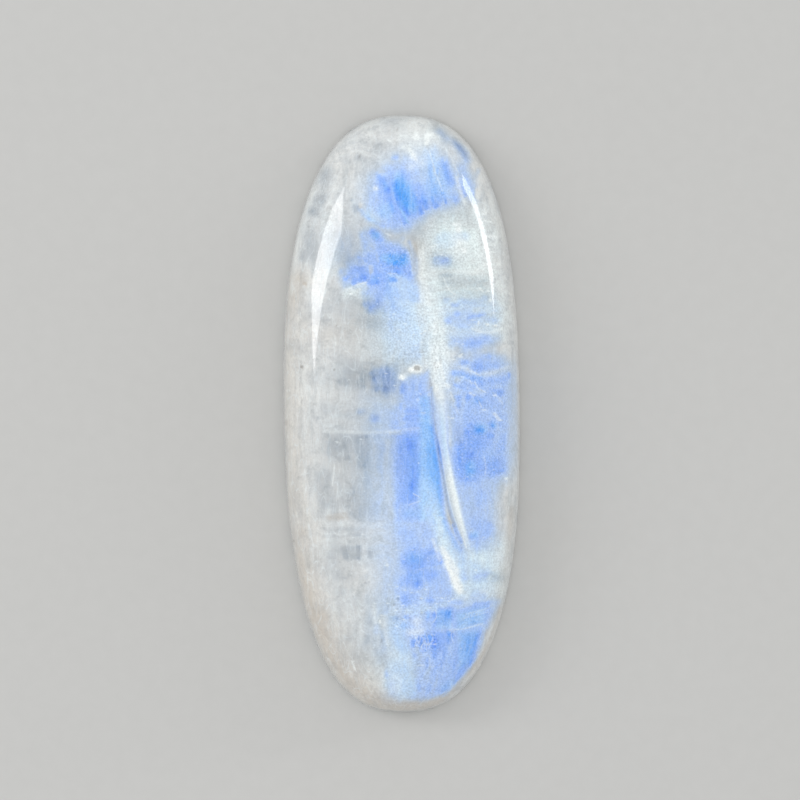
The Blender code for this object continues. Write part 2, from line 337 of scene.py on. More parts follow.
# The blue sheen, painted into the colour.
BLUE_SHEEN_MARKINGS = (
    (0.23, 3, (-4.12, 12.19, 0.69), (-4.12, 12.65, 0.69)),
    (0.28, 3, (-2.51, 0.99), (-0.58, 1.3), (-0.5, -8.11), (-2.66, -8.11), (-2.35, -4.26)),
    (0.02, 0.63, (-4.28, -10.9, 0.46), (-3.66, -10.9, 0.46)),
    (0.28, 3, (-1.12, -17.01, 0.62), (-1.12, -10.53, 0.62)),
    (0.22, 1.49, (-1.12, -8.17), (-0.19, -7.01), (4.43, -11.25), (5.2, -13.56), (6.75, -13.18),
        (7.06, -14.34), (5.98, -16.26), (5.82, -17.81), (4.05, -20.89), (1.35, -21.82),
        (-1.12, -21.82), (-1.35, -17.42), (-0.96, -13.56)),
    (0.26, 3, (5.81, -11.57, 1.08), (5.81, -10.03, 1.08)),
    (0.15, 0.39, (4.18, -13.43, 0.62), (6.34, -13.43, 0.62)),
    (0.26, 1.96, (-3.11, 16.54), (-2.95, 17.47), (-2.41, 18.24), (-1.72, 18.93), (-1.02, 19.55),
        (-0.41, 20.01), (0.44, 20.32), (1.52, 20.55), (2.45, 20.63), (3.37, 20.09), (3.91, 19.32),
        (4.3, 18.47), (4.61, 17.62), (4.84, 16.77), (4.45, 16.31), (3.53, 16.08), (2.75, 15.92),
        (1.98, 15.69), (1.44, 15.23), (0.83, 14.69), (0.21, 14.15), (-0.41, 14.15), (-1.1, 14.27),
        (-1.87, 14.42), (-2.49, 14.92), (-2.95, 15.54), (-3.18, 16)),
    (0.43, 0.93, (-2.19, 16.39), (-1.88, 17.78), (-1.26, 18.39), (-0.34, 18.86), (0.59, 18.39),
        (1.36, 17.62), (2.28, 17.78), (3.05, 18.09), (3.67, 17.47), (4.13, 16.47), (3.52, 16.08),
        (2.75, 15.93), (1.97, 15.54), (1.2, 15), (0.43, 14.38), (-0.34, 14.31), (-1.26, 14.62),
        (-1.88, 15.39)),
    (0.29, 0.46, (0.23, 19.68), (1.23, 19.53), (1.7, 18.29), (0.93, 17.68), (0.39, 18.45)),
    (0.39, 0.66, (1.92, 20.26), (2.54, 20.26), (2.85, 18.72), (2.08, 18.57)),
    (0.63, 0.21, (-1.85, 18.39, 0.12), (-1.39, 17.69, 0.23), (-1, 17.07, 0.23)),
    (1, 0.34, (-1.06, 17.15, 0.19), (-1, 17.2, 0.19)),
    (0.21, 0.38, (-2.21, 18.08, 0.23), (-2.21, 18.24, 0.23)),
    (0.69, 0.59, (-0.08, 18.14, 0.23), (0.23, 17.22, 0.54), (0.53, 16.29, 0.62),
        (0.92, 15.75, 0.31)),
    (0.97, 0.44, (-0.46, 17.66, 0.15), (-0.23, 17.05, 0.31), (0.08, 16.35, 0.31)),
    (0.98, 0.12, (-0.74, 17.66, 0.05), (-0.5, 17.04, 0.08), (-0.35, 16.35, 0.06)),
    (0.91, 0.22, (-0.26, 16.08, 0.08), (0.13, 15.77, 0.23), (0.52, 15.31, 0.14)),
    (0.52, 0.08, (-0.17, 15.67, 0.05), (0.13, 15.13, 0.08), (0.44, 14.67, 0.08)),
    (0.56, 0.09, (-0.26, 15.61, 0.05), (-0.03, 15.15, 0.09), (0.28, 14.61, 0.12)),
    (0.74, 0.16, (0.84, 16.96, 0.08), (1.22, 16.19, 0.12), (1.53, 15.42, 0.12)),
    (1, 0.44, (1.48, 16.85, 0.06), (1.72, 16.31, 0.15), (1.87, 15.85, 0.1)),
    (0.58, 0.16, (1.25, 17.57, 0.08), (1.48, 16.8, 0.12)),
    (0.83, 0.24, (2.34, 16.56, 0.06), (2.49, 16.17, 0.09), (2.73, 16.02, 0.06)),
    (0.77, 0.09, (3.03, 17.32, 0.04), (3.22, 16.78, 0.08), (3.41, 16.2, 0.06)),
    (0.48, 0.13, (2.16, 19.05, 0.06), (2.31, 18.28, 0.15), (2.55, 17.35, 0.12)),
    (0.85, 0.58, (3.23, 19.24, 0.12), (3.47, 18.55, 0.14), (3.77, 17.78, 0.09)),
    (0.42, 0.19, (-0.53, 19.71, 0.17), (-0.41, 19.71, 0.17)),
    (0.65, 0.13, (4.44, 18, 0.06), (4.59, 17.38, 0.12), (4.83, 16.69, 0.08)),
    (0.6, 0.22, (2.48, 17.17, 0.15), (2.94, 16.55, 0.23)),
    (0.39, 0.24, (4.2, 16.4, 0.19), (4.2, 16.63, 0.19)),
    (0.81, 0.33, (-0.67, 15.56, 0.15), (-0.83, 16.47, 0.15)),
    (0.26, 0.25, (-2.3, 15.3, 0.31), (-2.5, 15.53, 0.31)),
    (0.45, 0.26, (-1.38, 15.52, 0.39), (-1.22, 15.52, 0.39)),
    (0.32, 0.25, (-1.87, 16.36, 0.31), (-1.87, 16.67, 0.31)),
    (0.51, 0.06, (-1.63, 18.61, 0.04), (-0.93, 17.68, 0.05), (-0.7, 16.99, 0.06),
        (-0.47, 16.14, 0.06), (-0.24, 15.45, 0.05)),
    (0.51, 0.09, (-0.88, 17.71, 0.05), (-0.65, 17.25, 0.05)),
    (0.37, 0.6, (4.12, 20.83, 0.09), (4.51, 20.44, 0.17), (4.82, 19.98, 0.23),
        (5.05, 19.52, 0.14)),
    (0.3, 0.65, (2.88, 21.75, 0.14), (3.5, 21.13, 0.15)),
    (0.43, 0.91, (4.72, 18.81, 0.15), (5.03, 17.88, 0.23), (5.57, 16.8, 0.15)),
    (0.31, 0.63, (-2.98, 13.89), (-2.37, 14.12), (-1.83, 14.04), (-1.29, 13.65), (-0.98, 13.19),
        (-0.28, 13.11), (0.02, 12.57), (0.56, 12.34), (0.79, 11.65), (0.95, 10.65), (1.26, 9.88),
        (1.41, 8.72), (-0.05, 8.87), (-1.75, 8.8), (-2.83, 8.87), (-2.98, 9.26), (-2.6, 9.95),
        (-3.76, 9.8), (-4.45, 9.72), (-4.6, 10.26), (-4.45, 11.03), (-3.91, 11.57), (-3.29, 12.11),
        (-2.83, 12.65), (-2.21, 12.65), (-2.68, 13.35)),
    (0.67, 0.35, (-2.21, 13.92, 0.09), (-1.86, 13.61, 0.25), (-1.59, 13.22, 0.14)),
    (0.39, 0.39, (-3.01, 13.66, 0.08), (-2.78, 12.89, 0.12)),
    (0.45, 0.11, (-3.33, 11.99, 0.06), (-2.71, 11.69, 0.1)),
    (0.34, 0.35, (-1.46, 12.9, 0.27), (-1.07, 12.9, 0.27)),
    (1, 1.42, (-1.15, 11.77, 0.23), (-0.53, 11.62, 0.39), (0.16, 11.54, 0.39)),
    (0.86, 0.14, (-0.86, 12.13, 0.11), (-0.78, 12.07, 0.11)),
    (0.92, 0.17, (-0.64, 11.47, 0.15), (-0.42, 11.47, 0.15)),
    (0.71, 0.14, (0.23, 12.07, 0.14), (0.23, 12.16, 0.14)),
    (0.65, 0.15, (-1.38, 11.88, 0.23), (-1.38, 12.03, 0.23)),
    (0.57, 0.32, (0.21, 11.36, 0.19), (0.59, 10.66, 0.19)),
    (0.89, 0.25, (-0.49, 10.89, 0.17), (-0.21, 10.89, 0.17)),
    (0.57, 0.14, (-1.22, 11.66, 0.09), (-1.22, 10.97, 0.12), (-1.3, 10.2, 0.15)),
    (0.59, 0.16, (-2.08, 11.37, 0.08), (-1.93, 10.91, 0.14)),
    (1, 0.69, (-2.02, 10.24, 0.31)),
    (1, 0.16, (-2.91, 10.45, 0.23), (-2.88, 10.45, 0.23)),
    (0.7, 0.18, (-3.55, 10.28, 0.19), (-3.16, 10.28, 0.15)),
    (0.52, 0.27, (-3.44, 10.9, 0.39), (-2.98, 10.9, 0.39)),
    (0.89, 0.16, (-3, 10.52, 0.2), (-2.97, 10.52, 0.2)),
    (0.75, 0.16, (-3.63, 10, 0.14), (-3.6, 10, 0.14)),
    (0.71, 0.2, (-4.27, 10.51, 0.23), (-4.27, 10.82, 0.23)),
    (0.26, 0.2, (-1, 10.56), (-0.15, 10.6), (0.77, 10.02), (1.24, 9.33), (1.24, 8.56),
        (-0.31, 8.79), (-1, 9.71)),
    (1, 0.15, (-0.86, 10.38, 0.08), (-0.58, 10.38, 0.08)),
    (0.59, 0.61, (-1.13, 9.37, 0.31), (-1.13, 9.52, 0.31)),
    (0.33, 0.25, (-2.1, 9.42, 0.31), (-1.94, 9.42, 0.31)),
    (0.66, 0.69, (-1.79, 8.71, 0.12), (-2.02, 8.36, 0.17), (-2.25, 8.13, 0.15)),
    (0.23, 0.19, (-2.8, 8.37, 0.23), (-2.65, 8.37, 0.23)),
    (0.65, 0.07, (-2.54, 11.4, 0.06), (-2.55, 10.63, 0.08), (-2.55, 9.94, 0.06)),
    (0.58, 0.07, (-1.06, 11.23, 0.05), (-1.02, 10.62, 0.06), (-1.1, 9.38, 0.06)),
    (0.17, 0.08, (-3.74, 9.66, 0.08), (-3.12, 9.78, 0.15), (-2.81, 9.62, 0.19),
        (-2.97, 9.31, 0.12)),
    (0.3, 0.11, (-2.41, 12.68, 0.08), (-1.95, 12.37, 0.09), (-1.79, 11.68, 0.08)),
    (0.29, 3, (-1.51, 8.97), (1.11, 8.97), (1.34, 7.89), (1.65, 6.5), (1.65, 4.96), (0.96, 4.03),
        (0.11, 4.03), (-0.82, 4.96), (-1.28, 6.5)),
    (0.18, 0.3, (0.4, 4.19, 0.23), (1.31, 4.38, 0.23)),
    (0.23, 0.51, (-0.28, 6.76, 0.62), (-0.28, 6.92, 0.62)),
    (0.38, 1.33, (-0.59, 8.24, 0.39)),
    (0.48, 0.87, (2.81, 11.71, 0.17), (3.39, 11.71, 0.17)),
    (0.15, 0.7, (3, 9.07), (5.16, 9.14), (7.17, 9.14), (7.71, 8.06), (7.78, 7.14), (7.48, 6.52),
        (5.16, 6.37), (3.31, 6.68), (2.93, 7.6), (2.85, 8.68)),
    (0.21, 0.17, (3.4, 8.76, 0.19), (3.56, 8.76, 0.19)),
    (0.22, 0.26, (4.44, 8.63, 0.15), (5.29, 8.55, 0.19), (6.21, 8.59, 0.15)),
    (0.18, 0.16, (6.29, 8.9, 0.15), (6.52, 8.9, 0.15)),
    (0.3, 0.16, (3.92, 8.35, 0.12), (4.31, 8.35, 0.12)),
    (0.08, 0.16, (5.62, 7.96, 0.19), (5.85, 7.96, 0.19)),
    (0.32, 0.15, (4.23, 7.67, 0.19), (4.31, 7.67, 0.19)),
    (0.34, 0.27, (3.54, 7.14, 0.19), (3.62, 7.14, 0.19)),
    (0.38, 1.63, (4.43, 7.06, 0.19), (5.05, 7.14, 0.19), (5.35, 7.37, 0.14)),
    (0.36, 0.19, (5.14, 7.32, 0.09), (5.6, 7.47, 0.12), (6.37, 7.55, 0.14)),
    (0.64, 0.11, (6.02, 7.51, 0.09), (6.2, 7.51, 0.09)),
    (0.21, 0.21, (6.18, 7.39, 0.19), (7.11, 7.16, 0.23)),
    (0.42, 1.06, (3.83, 5.79), (5.14, 5.87), (6.45, 6.06), (7.3, 5.79), (6.99, 5.33), (6.22, 5.1),
        (5.6, 4.79), (4.75, 4.83), (4.44, 5.25), (3.83, 5.4)),
    (0.44, 0.4, (5.33, 5.46, 0.23), (5.87, 5.41, 0.23)),
    (0.31, 0.14, (6.49, 5.79, 0.19), (6.58, 5.79, 0.19)),
    (0.27, 0.58, (5.59, 4.64), (6.98, 4.72), (7.75, 4.41), (8.06, 3.79), (7.6, 3.33), (6.52, 3.25),
        (5.59, 3.41), (4.36, 3.79), (4.36, 4.18), (5.28, 4.26)),
    (0.42, 0.14, (4.71, 3.94, 0.15), (5.02, 3.94, 0.15)),
    (0.95, 0.61, (5.83, 3.53, 0.17), (6.25, 3.58, 0.17)),
    (0.39, 0.34, (6.21, 3.88, 0.19), (7.37, 3.58, 0.17)),
    (0.43, 0.28, (6.35, 4.37, 0.12), (6.72, 4.37, 0.12)),
    (0.43, 2.48, (3.74, 3.13), (4.51, 3.21), (5.44, 2.9), (6.21, 2.75), (7.36, 2.9), (8.21, 3.29),
        (8.52, 2.51), (8.44, 0.97), (8.37, -1.34), (8.21, -3.27), (7.9, -4.35), (6.82, -4.66),
        (5.74, -5.04), (4.97, -5.27), (4.28, -5.12), (4.05, -4.04), (3.89, -2.88), (3.66, -1.96),
        (3.66, -0.72), (3.51, 0.36), (3.58, 0.82), (4.12, 0.9), (3.74, 1.74), (3.66, 2.51)),
    (0.36, 0.38, (4.75, -0.3), (5.75, 0.09), (7.68, -0.3), (8.06, -1.99), (7.91, -4),
        (6.13, -4.54), (5.05, -4.92), (4.44, -3.54)),
    (0.48, 0.21, (4, 3.14, 0.15), (4.62, 3.06, 0.17), (5.31, 2.79, 0.15)),
    (0.71, 0.2, (5.52, 2.68, 0.19), (5.55, 2.68, 0.19)),
    (0.93, 0.37, (6, 2.7, 0.12), (6.16, 2.24, 0.15)),
    (0.5, 0.54, (6.38, 2.56, 0.17), (7.93, 2.64, 0.19)),
    (0.55, 0.14, (8.27, 2.8, 0.11), (8.27, 3.05, 0.11)),
    (0.16, 0.19, (4.19, 2.6, 0.15), (4.35, 2.6, 0.15)),
    (0.44, 0.12, (4.06, 2.2, 0.08), (4.91, 1.89, 0.09)),
    (0.38, 0.19, (4.85, 2.26, 0.15), (6.39, 2.03, 0.15)),
    (0.23, 0.28, (5.68, 1.7, 0.14), (6.25, 1.7, 0.14)),
    (0.73, 0.25, (7.57, 1.63, 0.2)),
    (0.49, 0.11, (6.78, 1.82, 0.06), (7.32, 1.78, 0.08)),
    (0.49, 0.18, (4.22, 1.31, 0.11), (4.47, 1.31, 0.11)),
    (0.67, 0.22, (5.1, 1.21, 0.14), (5.1, 1.27, 0.14)),
    (0.69, 0.29, (5.76, 1.03, 0.15), (6.07, 1.03, 0.15)),
    (0.45, 0.21, (4.39, 0.63, 0.15), (4.39, 1.02, 0.15)),
    (0.32, 0.37, (5.65, 0.19, 0.31), (7.19, 0.19, 0.31)),
    (0.95, 0.47, (5.83, -1.26, 0.31), (5.99, -1.26, 0.31)),
    (0.83, 0.25, (6.95, -0.87, 0.23)),
    (0.78, 0.29, (5.13, -1.4, 0.26)),
    (0.66, 0.16, (6.7, -1.69, 0.22), (6.83, -1.69, 0.22)),
    (0.84, 1.15, (5.45, -2.31, 0.31), (6.07, -2.31, 0.31)),
    (0.41, 0.26, (7.53, -2.59, 0.31), (7.53, -2.28, 0.31)),
    (1, 1.64, (5.16, -4.72, 0.28), (5.16, -3.89, 0.28)),
    (1, 0.77, (4.38, -2.61, 0.08), (4.53, -3.61, 0.12), (4.6, -4.53, 0.08)),
    (1, 1.25, (6.75, -4.16, 0.31), (6.9, -4.16, 0.31)),
    (0.85, 0.12, (7.12, -4.53, 0.08), (7.74, -4.34, 0.06)),
    (0.82, 0.25, (5.13, -3.14, 0.31), (5.28, -3.14, 0.31)),
    (0.86, 0.11, (4.88, -5.04, 0.08), (5.5, -5.04, 0.08)),
    (0.3, 0.16, (4.13, -0.86, 0.14), (4.29, -1.56, 0.15), (4.37, -2.33, 0.08)),
    (0.31, 0.1, (4.62, 0.06, 0.05), (4.65, -2.02, 0.06)),
    (0.32, 0.23, (7.95, -1.39, 0.19), (7.95, -0.22, 0.19)),
    (0.83, 0.08, (4.26, -2.65, 0.05), (4.5, -4.04, 0.05)),
    (0.6, 0.09, (4.63, -2.97, 0.04), (4.82, -4.98, 0.05)),
    (0.35, 1.44, (4.06, -5.6), (5.07, -5.52), (6.3, -5.29), (7.15, -5.21), (7.15, -6.75),
        (7.07, -8.3), (6.68, -9.68), (5.84, -10.38), (5.07, -9.92), (4.76, -8.3), (4.45, -6.75)),
    (0.36, 0.43, (5.69, -8.39, 0.46), (5.69, -8.08, 0.46)),
    (0.62, 0.25, (5.43, -9.37, 0.2), (5.59, -9.37, 0.2)),
    (0.4, 0.55, (6.48, -9.02, 0.46)),
    (0.37, 0.57, (-0.08, 2.57), (1.07, 2.88), (1.92, 3.11), (2.08, 2.19), (2.23, 0.41),
        (2.15, -0.82), (1.38, -1.59), (0.15, -1.51), (-0.01, -0.36), (-0.08, 1.34)),
    (0.49, 0.09, (-0.04, 0.4, 0.11), (-0.04, 0.7, 0.11)),
    (0.48, 0.21, (0.14, 1.79, 0.23), (0.14, 2, 0.23)),
    (0.61, 0.25, (0.52, 0.21, 0.15), (1.2, 0.21, 0.15)),
    (0.59, 0.21, (0.19, -0.42, 0.09), (1.24, -0.42, 0.09)),
    (0.66, 0.11, (0.34, -0.16, 0.06), (1.45, -0.16, 0.06)),
    (0.32, 0.21, (1.35, 2.46, 0.23), (1.5, 2.46, 0.23)),
    (0.32, 0.66, (-1, 0.23), (-0.07, 0.7), (0.16, -1.54), (-0.92, -1.54)),
    (0.49, 0.89, (-0.16, -1.85), (0.8, -1.58), (1.42, -1.54), (1.46, -4.08), (1.38, -6.94),
        (-0.28, -6.94), (-0.36, -5.16), (-0.51, -4.55), (-0.43, -2.85)),
    (0.17, 0.06, (-1, -1.35), (1.55, -1.15), (1.55, -1.42), (-1, -1.69)),
    (0.33, 0.12, (0.1, -1.28, 0.08), (1.34, -1.17, 0.08)),
    (1, 1.42, (0.7, -1.95, 0.23), (0.93, -4.03, 0.26), (0.86, -6.27, 0.28)),
    (0.36, 0.42, (-2.08, -0.38, 0.17), (-1.96, -0.38, 0.17)),
    (0.24, 0.42, (-2.12, 3.55), (-0.5, 3.71), (-0.19, 2.48), (-0.43, 1.55), (-1.27, 1.55),
        (-2.2, 1.86), (-2.35, 2.63)),
    (0.2, 0.18, (-2.3, 3.1, 0.15), (-1.9, 3.1, 0.15)),
    (0.27, 0.15, (-1.88, 1.91, 0.15), (-1.26, 1.91, 0.15)),
    (0.38, 0.4, (-0.35, -7.02), (1.5, -6.87), (1.5, -8.18), (-0.35, -8.18)),
    (0.62, 0.76, (1.53, 1.14), (2.07, 1.29), (2.31, 0.52), (2.46, -0.79), (2.69, -2.33),
        (2.92, -3.64), (3.08, -5.03), (3.08, -8.11), (1.61, -8.11), (1.46, -6.57), (1.46, -2.87),
        (1.53, -1.17)),
    (0.84, 0.34, (2.27, -1.06, 0.06), (2.4, -2.06, 0.12), (2.53, -2.99, 0.19), (2.66, -3.91, 0.2),
        (2.77, -4.69, 0.17), (2.86, -5.61, 0.12), (2.97, -6.69, 0.09), (3.04, -7.77, 0.06)),
    (0.25, 1.5, (1.94, -6.07, 0.12), (2.25, -6.92, 0.19), (2.4, -7.92, 0.23)),
    (0.31, 0.64, (1.69, -7.1), (3, -7.1), (3.54, -8.56), (4.16, -9.72), (4.7, -10.64),
        (5.08, -11.49), (4.78, -11.57), (4.16, -10.8), (3.46, -10.03), (2.77, -9.1),
        (2.15, -8.02)),
    (0.47, 0.26, (3.11, -7.77, 0.08), (3.49, -8.69, 0.14), (3.96, -9.62, 0.17),
        (4.42, -10.47, 0.12)),
    (0.19, 0.23, (2.45, -7.73, 0.08), (3.15, -9.12, 0.09)),
    (0.26, 0.34, (4.46, -12.04, 0.31), (4.46, -11.74, 0.31)),
    (0.25, 0.15, (2.86, -8.4, 0.15), (3.05, -7.98, 0.15)),
    (0.29, 0.12, (2.24, 2.01, 0.09), (2.29, 0.85, 0.09), (2.35, -0.38, 0.08)),
    (0.32, 0.67, (-0.32, -7.99), (1.54, -7.52), (2.31, -8.53), (2.85, -10.07), (3.16, -10.61),
        (3.54, -11.84), (3.77, -12.69), (4.08, -13.62), (3.54, -14.31), (2.31, -14.7),
        (0.92, -14.7), (-0.01, -14.39), (-0.32, -13), (-0.16, -11.92), (0.15, -11.15),
        (-0.16, -10.45), (-0.32, -9.14)),
    (0.83, 0.85, (0.85, -11.32, 0.54), (1.16, -11.32, 0.54)),
    (0.7, 0.18, (0.28, -11.38, 0.23), (1.43, -11.76, 0.23)),
    (0.7, 0.24, (0.76, -12.39, 0.23), (1.38, -12.39, 0.23)),
    (0.86, 0.33, (1.25, -13, 0.31), (1.25, -12.94, 0.31)),
    (0.64, 0.59, (0.44, -12.77, 0.31)),
    (0.48, 0.49, (0.41, -7.7, 0.26), (1.27, -7.7, 0.26)),
    (0.52, 0.24, (1.7, -10.64, 0.15), (2.32, -10.64, 0.15)),
    (0.45, 0.22, (2.36, -11.42, 0.31), (2.67, -11.42, 0.31)),
    (0.64, 0.53, (1.98, -12.42, 0.26), (2.38, -12.42, 0.26)),
    (0.35, 0.27, (2.77, -12.8, 0.31), (3.08, -12.8, 0.31)),
    (0.68, 0.58, (0.38, -14.34, 0.19), (0.38, -14.16, 0.19)),
    (0.5, 0.17, (2.06, -14.27, 0.19), (2.31, -14.27, 0.19)),
    (0.35, 0.21, (0.04, -9.11, 0.23), (0.65, -9.11, 0.23)),
    (0.28, 0.08, (-0.34, -8.47, 0.05), (2.05, -8.39, 0.06)),
    (0.31, 0.23, (-0.13, -13.61, 0.31)),
    (0.32, 0.24, (4.02, -14.54, 0.23), (4.48, -14.54, 0.23)),
    (0.33, 0.07, (1.3, -11.94, 0.04), (3.31, -11.59, 0.05)),
    (0.36, 0.23, (6.64, -8.63, 0.31)),
    (0.13, 0.51, (5.59, -10.99, 0.46), (6.21, -10.99, 0.46)),
    (0.38, 0.6, (5.79, -12.53, 0.17), (6.56, -12.41, 0.17)),
    (0.17, 0.31, (5.35, -13.57, 0.39), (6.13, -13.57, 0.39)),
    (0.26, 0.41, (4.86, -12.56, 0.23)),
    (0.29, 0.41, (-0.75, -15.61), (1.76, -15.46), (2.07, -15.31), (2.99, -15.19), (3.92, -15.08),
        (4.92, -14.92), (6.08, -14.61), (7, -14.34), (7.54, -14.42), (7.23, -15.31),
        (6.69, -16.46), (6.12, -17.16), (6, -17.62), (5.69, -18.39), (5.38, -19.24),
        (4.92, -19.93), (4.15, -20.78), (3.46, -21.4), (2.68, -21.78), (1.45, -22.02),
        (0.52, -21.94), (0.83, -20.78), (1.06, -19.7), (0.83, -18.7), (-0.09, -18.16),
        (-0.63, -17.54), (-0.71, -16.62)),
    (0.96, 0.45, (2.99, -15.09), (3.8, -15.03), (3.84, -15.74), (2.99, -15.82)),
    (0.68, 0.45, (2.52, -15.61), (3.6, -15.61), (3.6, -16.3), (2.52, -16.3)),
    (0.69, 0.36, (2.03, -15.63, 0.08), (2.03, -15.32, 0.08)),
    (0.83, 0.15, (2.56, -15.43, 0.17), (2.56, -15.4, 0.17)),
    (0.44, 0.11, (0.34, -15.59, 0.15), (0.56, -15.59, 0.15)),
    (0.35, 0.13, (-0.56, -15.7, 0.15), (-0.41, -15.7, 0.15)),
    (0.38, 0.14, (0.1, -16.25, 0.23), (0.25, -16.25, 0.23)),
    (0.44, 0.28, (4, -15.04), (5.08, -14.89), (6.47, -14.58), (6.93, -14.81), (6.47, -16.05),
        (5.08, -16.43), (4, -16.59)),
    (0.72, 0.07, (4.93, -15.65, 0.07), (5.78, -15.48, 0.07), (6.55, -15.28, 0.06)),
    (0.47, 0.12, (6.38, -14.71, 0.15), (6.92, -14.56, 0.12)),
    (0.52, 0.1, (5.05, -16.13, 0.09), (6.13, -15.9, 0.09)),
    (0.5, 0.14, (5.61, -14.67, 0.11), (6.16, -14.57, 0.11)),
    (0.32, 0.18, (0.51, -15.7), (1.75, -15.55), (1.75, -16.86), (0.51, -16.94)),
    (0.38, 0.24, (2.33, -17.03), (3.56, -16.88), (4.25, -16.96), (4.25, -19.73), (3.71, -21.12),
        (2.94, -21.58), (2.17, -21.74), (2.33, -20.04), (2.48, -18.73)),
    (0.78, 0.09, (1.94, -17.29, 0.09), (1.84, -17.03, 0.09)),
    (0.91, 0.1, (2.18, -17.28, 0.15), (2.18, -17.13, 0.15)),
    (0.79, 0.15, (0.92, -17.71, 0.15), (0.92, -17.41, 0.15)),
    (0.74, 0.14, (1.4, -17.54, 0.19), (1.43, -17.54, 0.19)),
    (0.62, 0.13, (1.48, -18.04, 0.14), (1.82, -18.04, 0.14)),
    (0.36, 0.11, (0.96, -18.58, 0.12), (1.18, -18.58, 0.12)),
    (1, 0.82, (2.62, -17.68, 0.31), (2.62, -17.37, 0.31)),
    (1, 0.52, (3.57, -17.25, 0.09), (3.57, -16.91, 0.09)),
    (0.91, 0.1, (3.58, -17.66, 0.07), (3.58, -17.4, 0.07)),
    (0.67, 0.13, (2.48, -18.7, 0.17), (2.48, -18.52, 0.17)),
    (0.51, 0.11, (3.39, -18.05, 0.14), (3.16, -18.98, 0.12), (2.69, -20.52, 0.12)),
    (0.46, 0.09, (4.12, -18.8, 0.06), (4.04, -19.65, 0.08), (3.93, -20.58, 0.06)),
    (0.67, 0.65, (4.45, -16.82), (5.92, -16.67), (5.92, -17.44), (5.61, -18.29), (5.22, -19.14),
        (4.61, -19.83), (4.38, -18.9)),
    (1, 0.12, (5.87, -16.98, 0.08), (5.82, -17.45, 0.15), (5.72, -18.14, 0.12),
        (5.48, -18.76, 0.14), (5.22, -19.3, 0.11)),
    (0.54, 0.2, (3.18, -21.15, 0.26), (3.53, -20.95, 0.26)),
    (0.47, 0.12, (2.04, -21.31, 0.14), (2.1, -20.97, 0.14)),
    (0.41, 0.13, (1.35, -21.21, 0.14), (1.35, -20.87, 0.14)),
    (0.55, 0.15, (1.97, -18.85, 0.06), (1.92, -19.47, 0.08)),
    (0.37, 0.09, (2.36, -18.52, 0.05), (2.3, -19.6, 0.07), (2.14, -20.68, 0.07),
        (1.87, -21.69, 0.06)),
    (0.27, 0.16, (2.93, -19.3, 0.05), (2.62, -20.84, 0.06), (2.32, -21.61, 0.05)),
    (0.35, 0.08, (3.73, -17.89, 0.04), (3.35, -19.59, 0.05), (2.96, -21.28, 0.05)),
    (0.31, 0.23, (1.48, -19.54, 0.31), (1.48, -19.23, 0.31)),
    (0.28, 0.17, (-1.15, -20.15, 0.09), (-1.15, -19.72, 0.09)),
    (0.28, 0.69, (-0.74, -19.18), (0.88, -19.18), (0.88, -21.65), (-0.2, -21.88), (-0.97, -20.96)),
    (0.08, 0.32, (-1.52, -16.2, 0.23), (-1.52, -15.74, 0.23)),
    (0.16, 0.41, (3.23, 13.27, 0.69), (3.7, 13.27, 0.69)),
    (0.17, 0.33, (4.54, 13.61, 0.39), (4.85, 13.61, 0.39)),
    (0.33, 0.25, (-3.22, 15.84, 0.11), (-2.91, 15.3, 0.12), (-2.45, 14.91, 0.14),
        (-1.44, 14.41, 0.14), (-0.52, 14.41, 0.11)),
    (0, 0.16, (5.88, 16.69, 0.23), (5.88, 17.15, 0.23)),
    (0.14, 0.17, (5.67, 18.27, 0.19), (5.95, 18.75, 0.19)),
    (0.14, 0.29, (-1.72, 18.54, 0.23), (-1.57, 18.54, 0.23)),
    (0.03, 0.33, (-4.56, 10.9, 0.39)),
    (0.19, 0.23, (-3.22, 11.63, 0.31)),
    (0.42, 0.18, (-2.35, 11.39, 0.26)),
    (0.82, 0.1, (-2.3, 10.06, 0.2), (-1.87, 10.06, 0.2)),
    (0.82, 0.14, (-0.79, 10.24, 0.14), (-0.52, 10.24, 0.14)),
    (0, 0.14, (0.66, 12.97, 0.11), (0.88, 12.04, 0.14), (0.97, 10.96, 0.12)),
    (0.77, 0.18, (-1.83, 10.59, 0.15), (-1.68, 10.59, 0.15)),
    (0.94, 0.08, (1.79, 16.17, 0.15), (1.79, 16.23, 0.15)),
    (0.64, 0.1, (2.55, 15.9, 0.15), (2.55, 15.96, 0.15)),
    (0.17, 0.11, (3.33, 19.37, 0.09), (3.33, 19.8, 0.09)),
    (0.48, 0.1, (2.6, 18.14, 0.09), (2.75, 18.71, 0.09)),
    (0.86, 0.13, (0.53, -2.69, 0.19), (0.53, -1.98, 0.19)),
    (0.64, 0.13, (5.17, -0.86, 0.14), (5.35, -0.86, 0.14)),
    (0.83, 0.17, (5.4, -4.42, 0.23), (5.49, -4.42, 0.23)),
    (0.87, 0.07, (4.35, -3.42, 0.04), (4.46, -4.34, 0.05)),
    (0.18, 0.26, (-3.19, 0.16, 0.2), (-2.98, 0.16, 0.2)),
    (0.91, 0.15, (2.77, -10.71, 0.06), (3.03, -11.33, 0.09)),
    (0.56, 0.1, (3.41, -11.95, 0.06), (3.69, -12.65, 0.09)),
    (0.99, 0.09, (3.74, -16.95, 0.19), (3.74, -16.89, 0.19)),
    (0.79, 0.21, (5.86, -17.11, 0.12), (5.51, -18.19, 0.15), (5.06, -19.19, 0.14),
        (4.32, -20.27, 0.11)),
    (0.54, 0.13, (6.11, -16.91, 0.08), (5.84, -17.76, 0.09), (5.46, -18.69, 0.09),
        (4.79, -19.69, 0.09), (4.02, -20.77, 0.09)),
    (0.18, 0.13, (3.17, -21.74, 0.12), (3.51, -21.62, 0.12)),
    (0.23, 0.16, (6.99, -14.84, 0.23), (6.99, -14.68, 0.23)),
    (0.16, 0.13, (-1.26, -11.47, 0.19), (-1.26, -11.07, 0.19)),
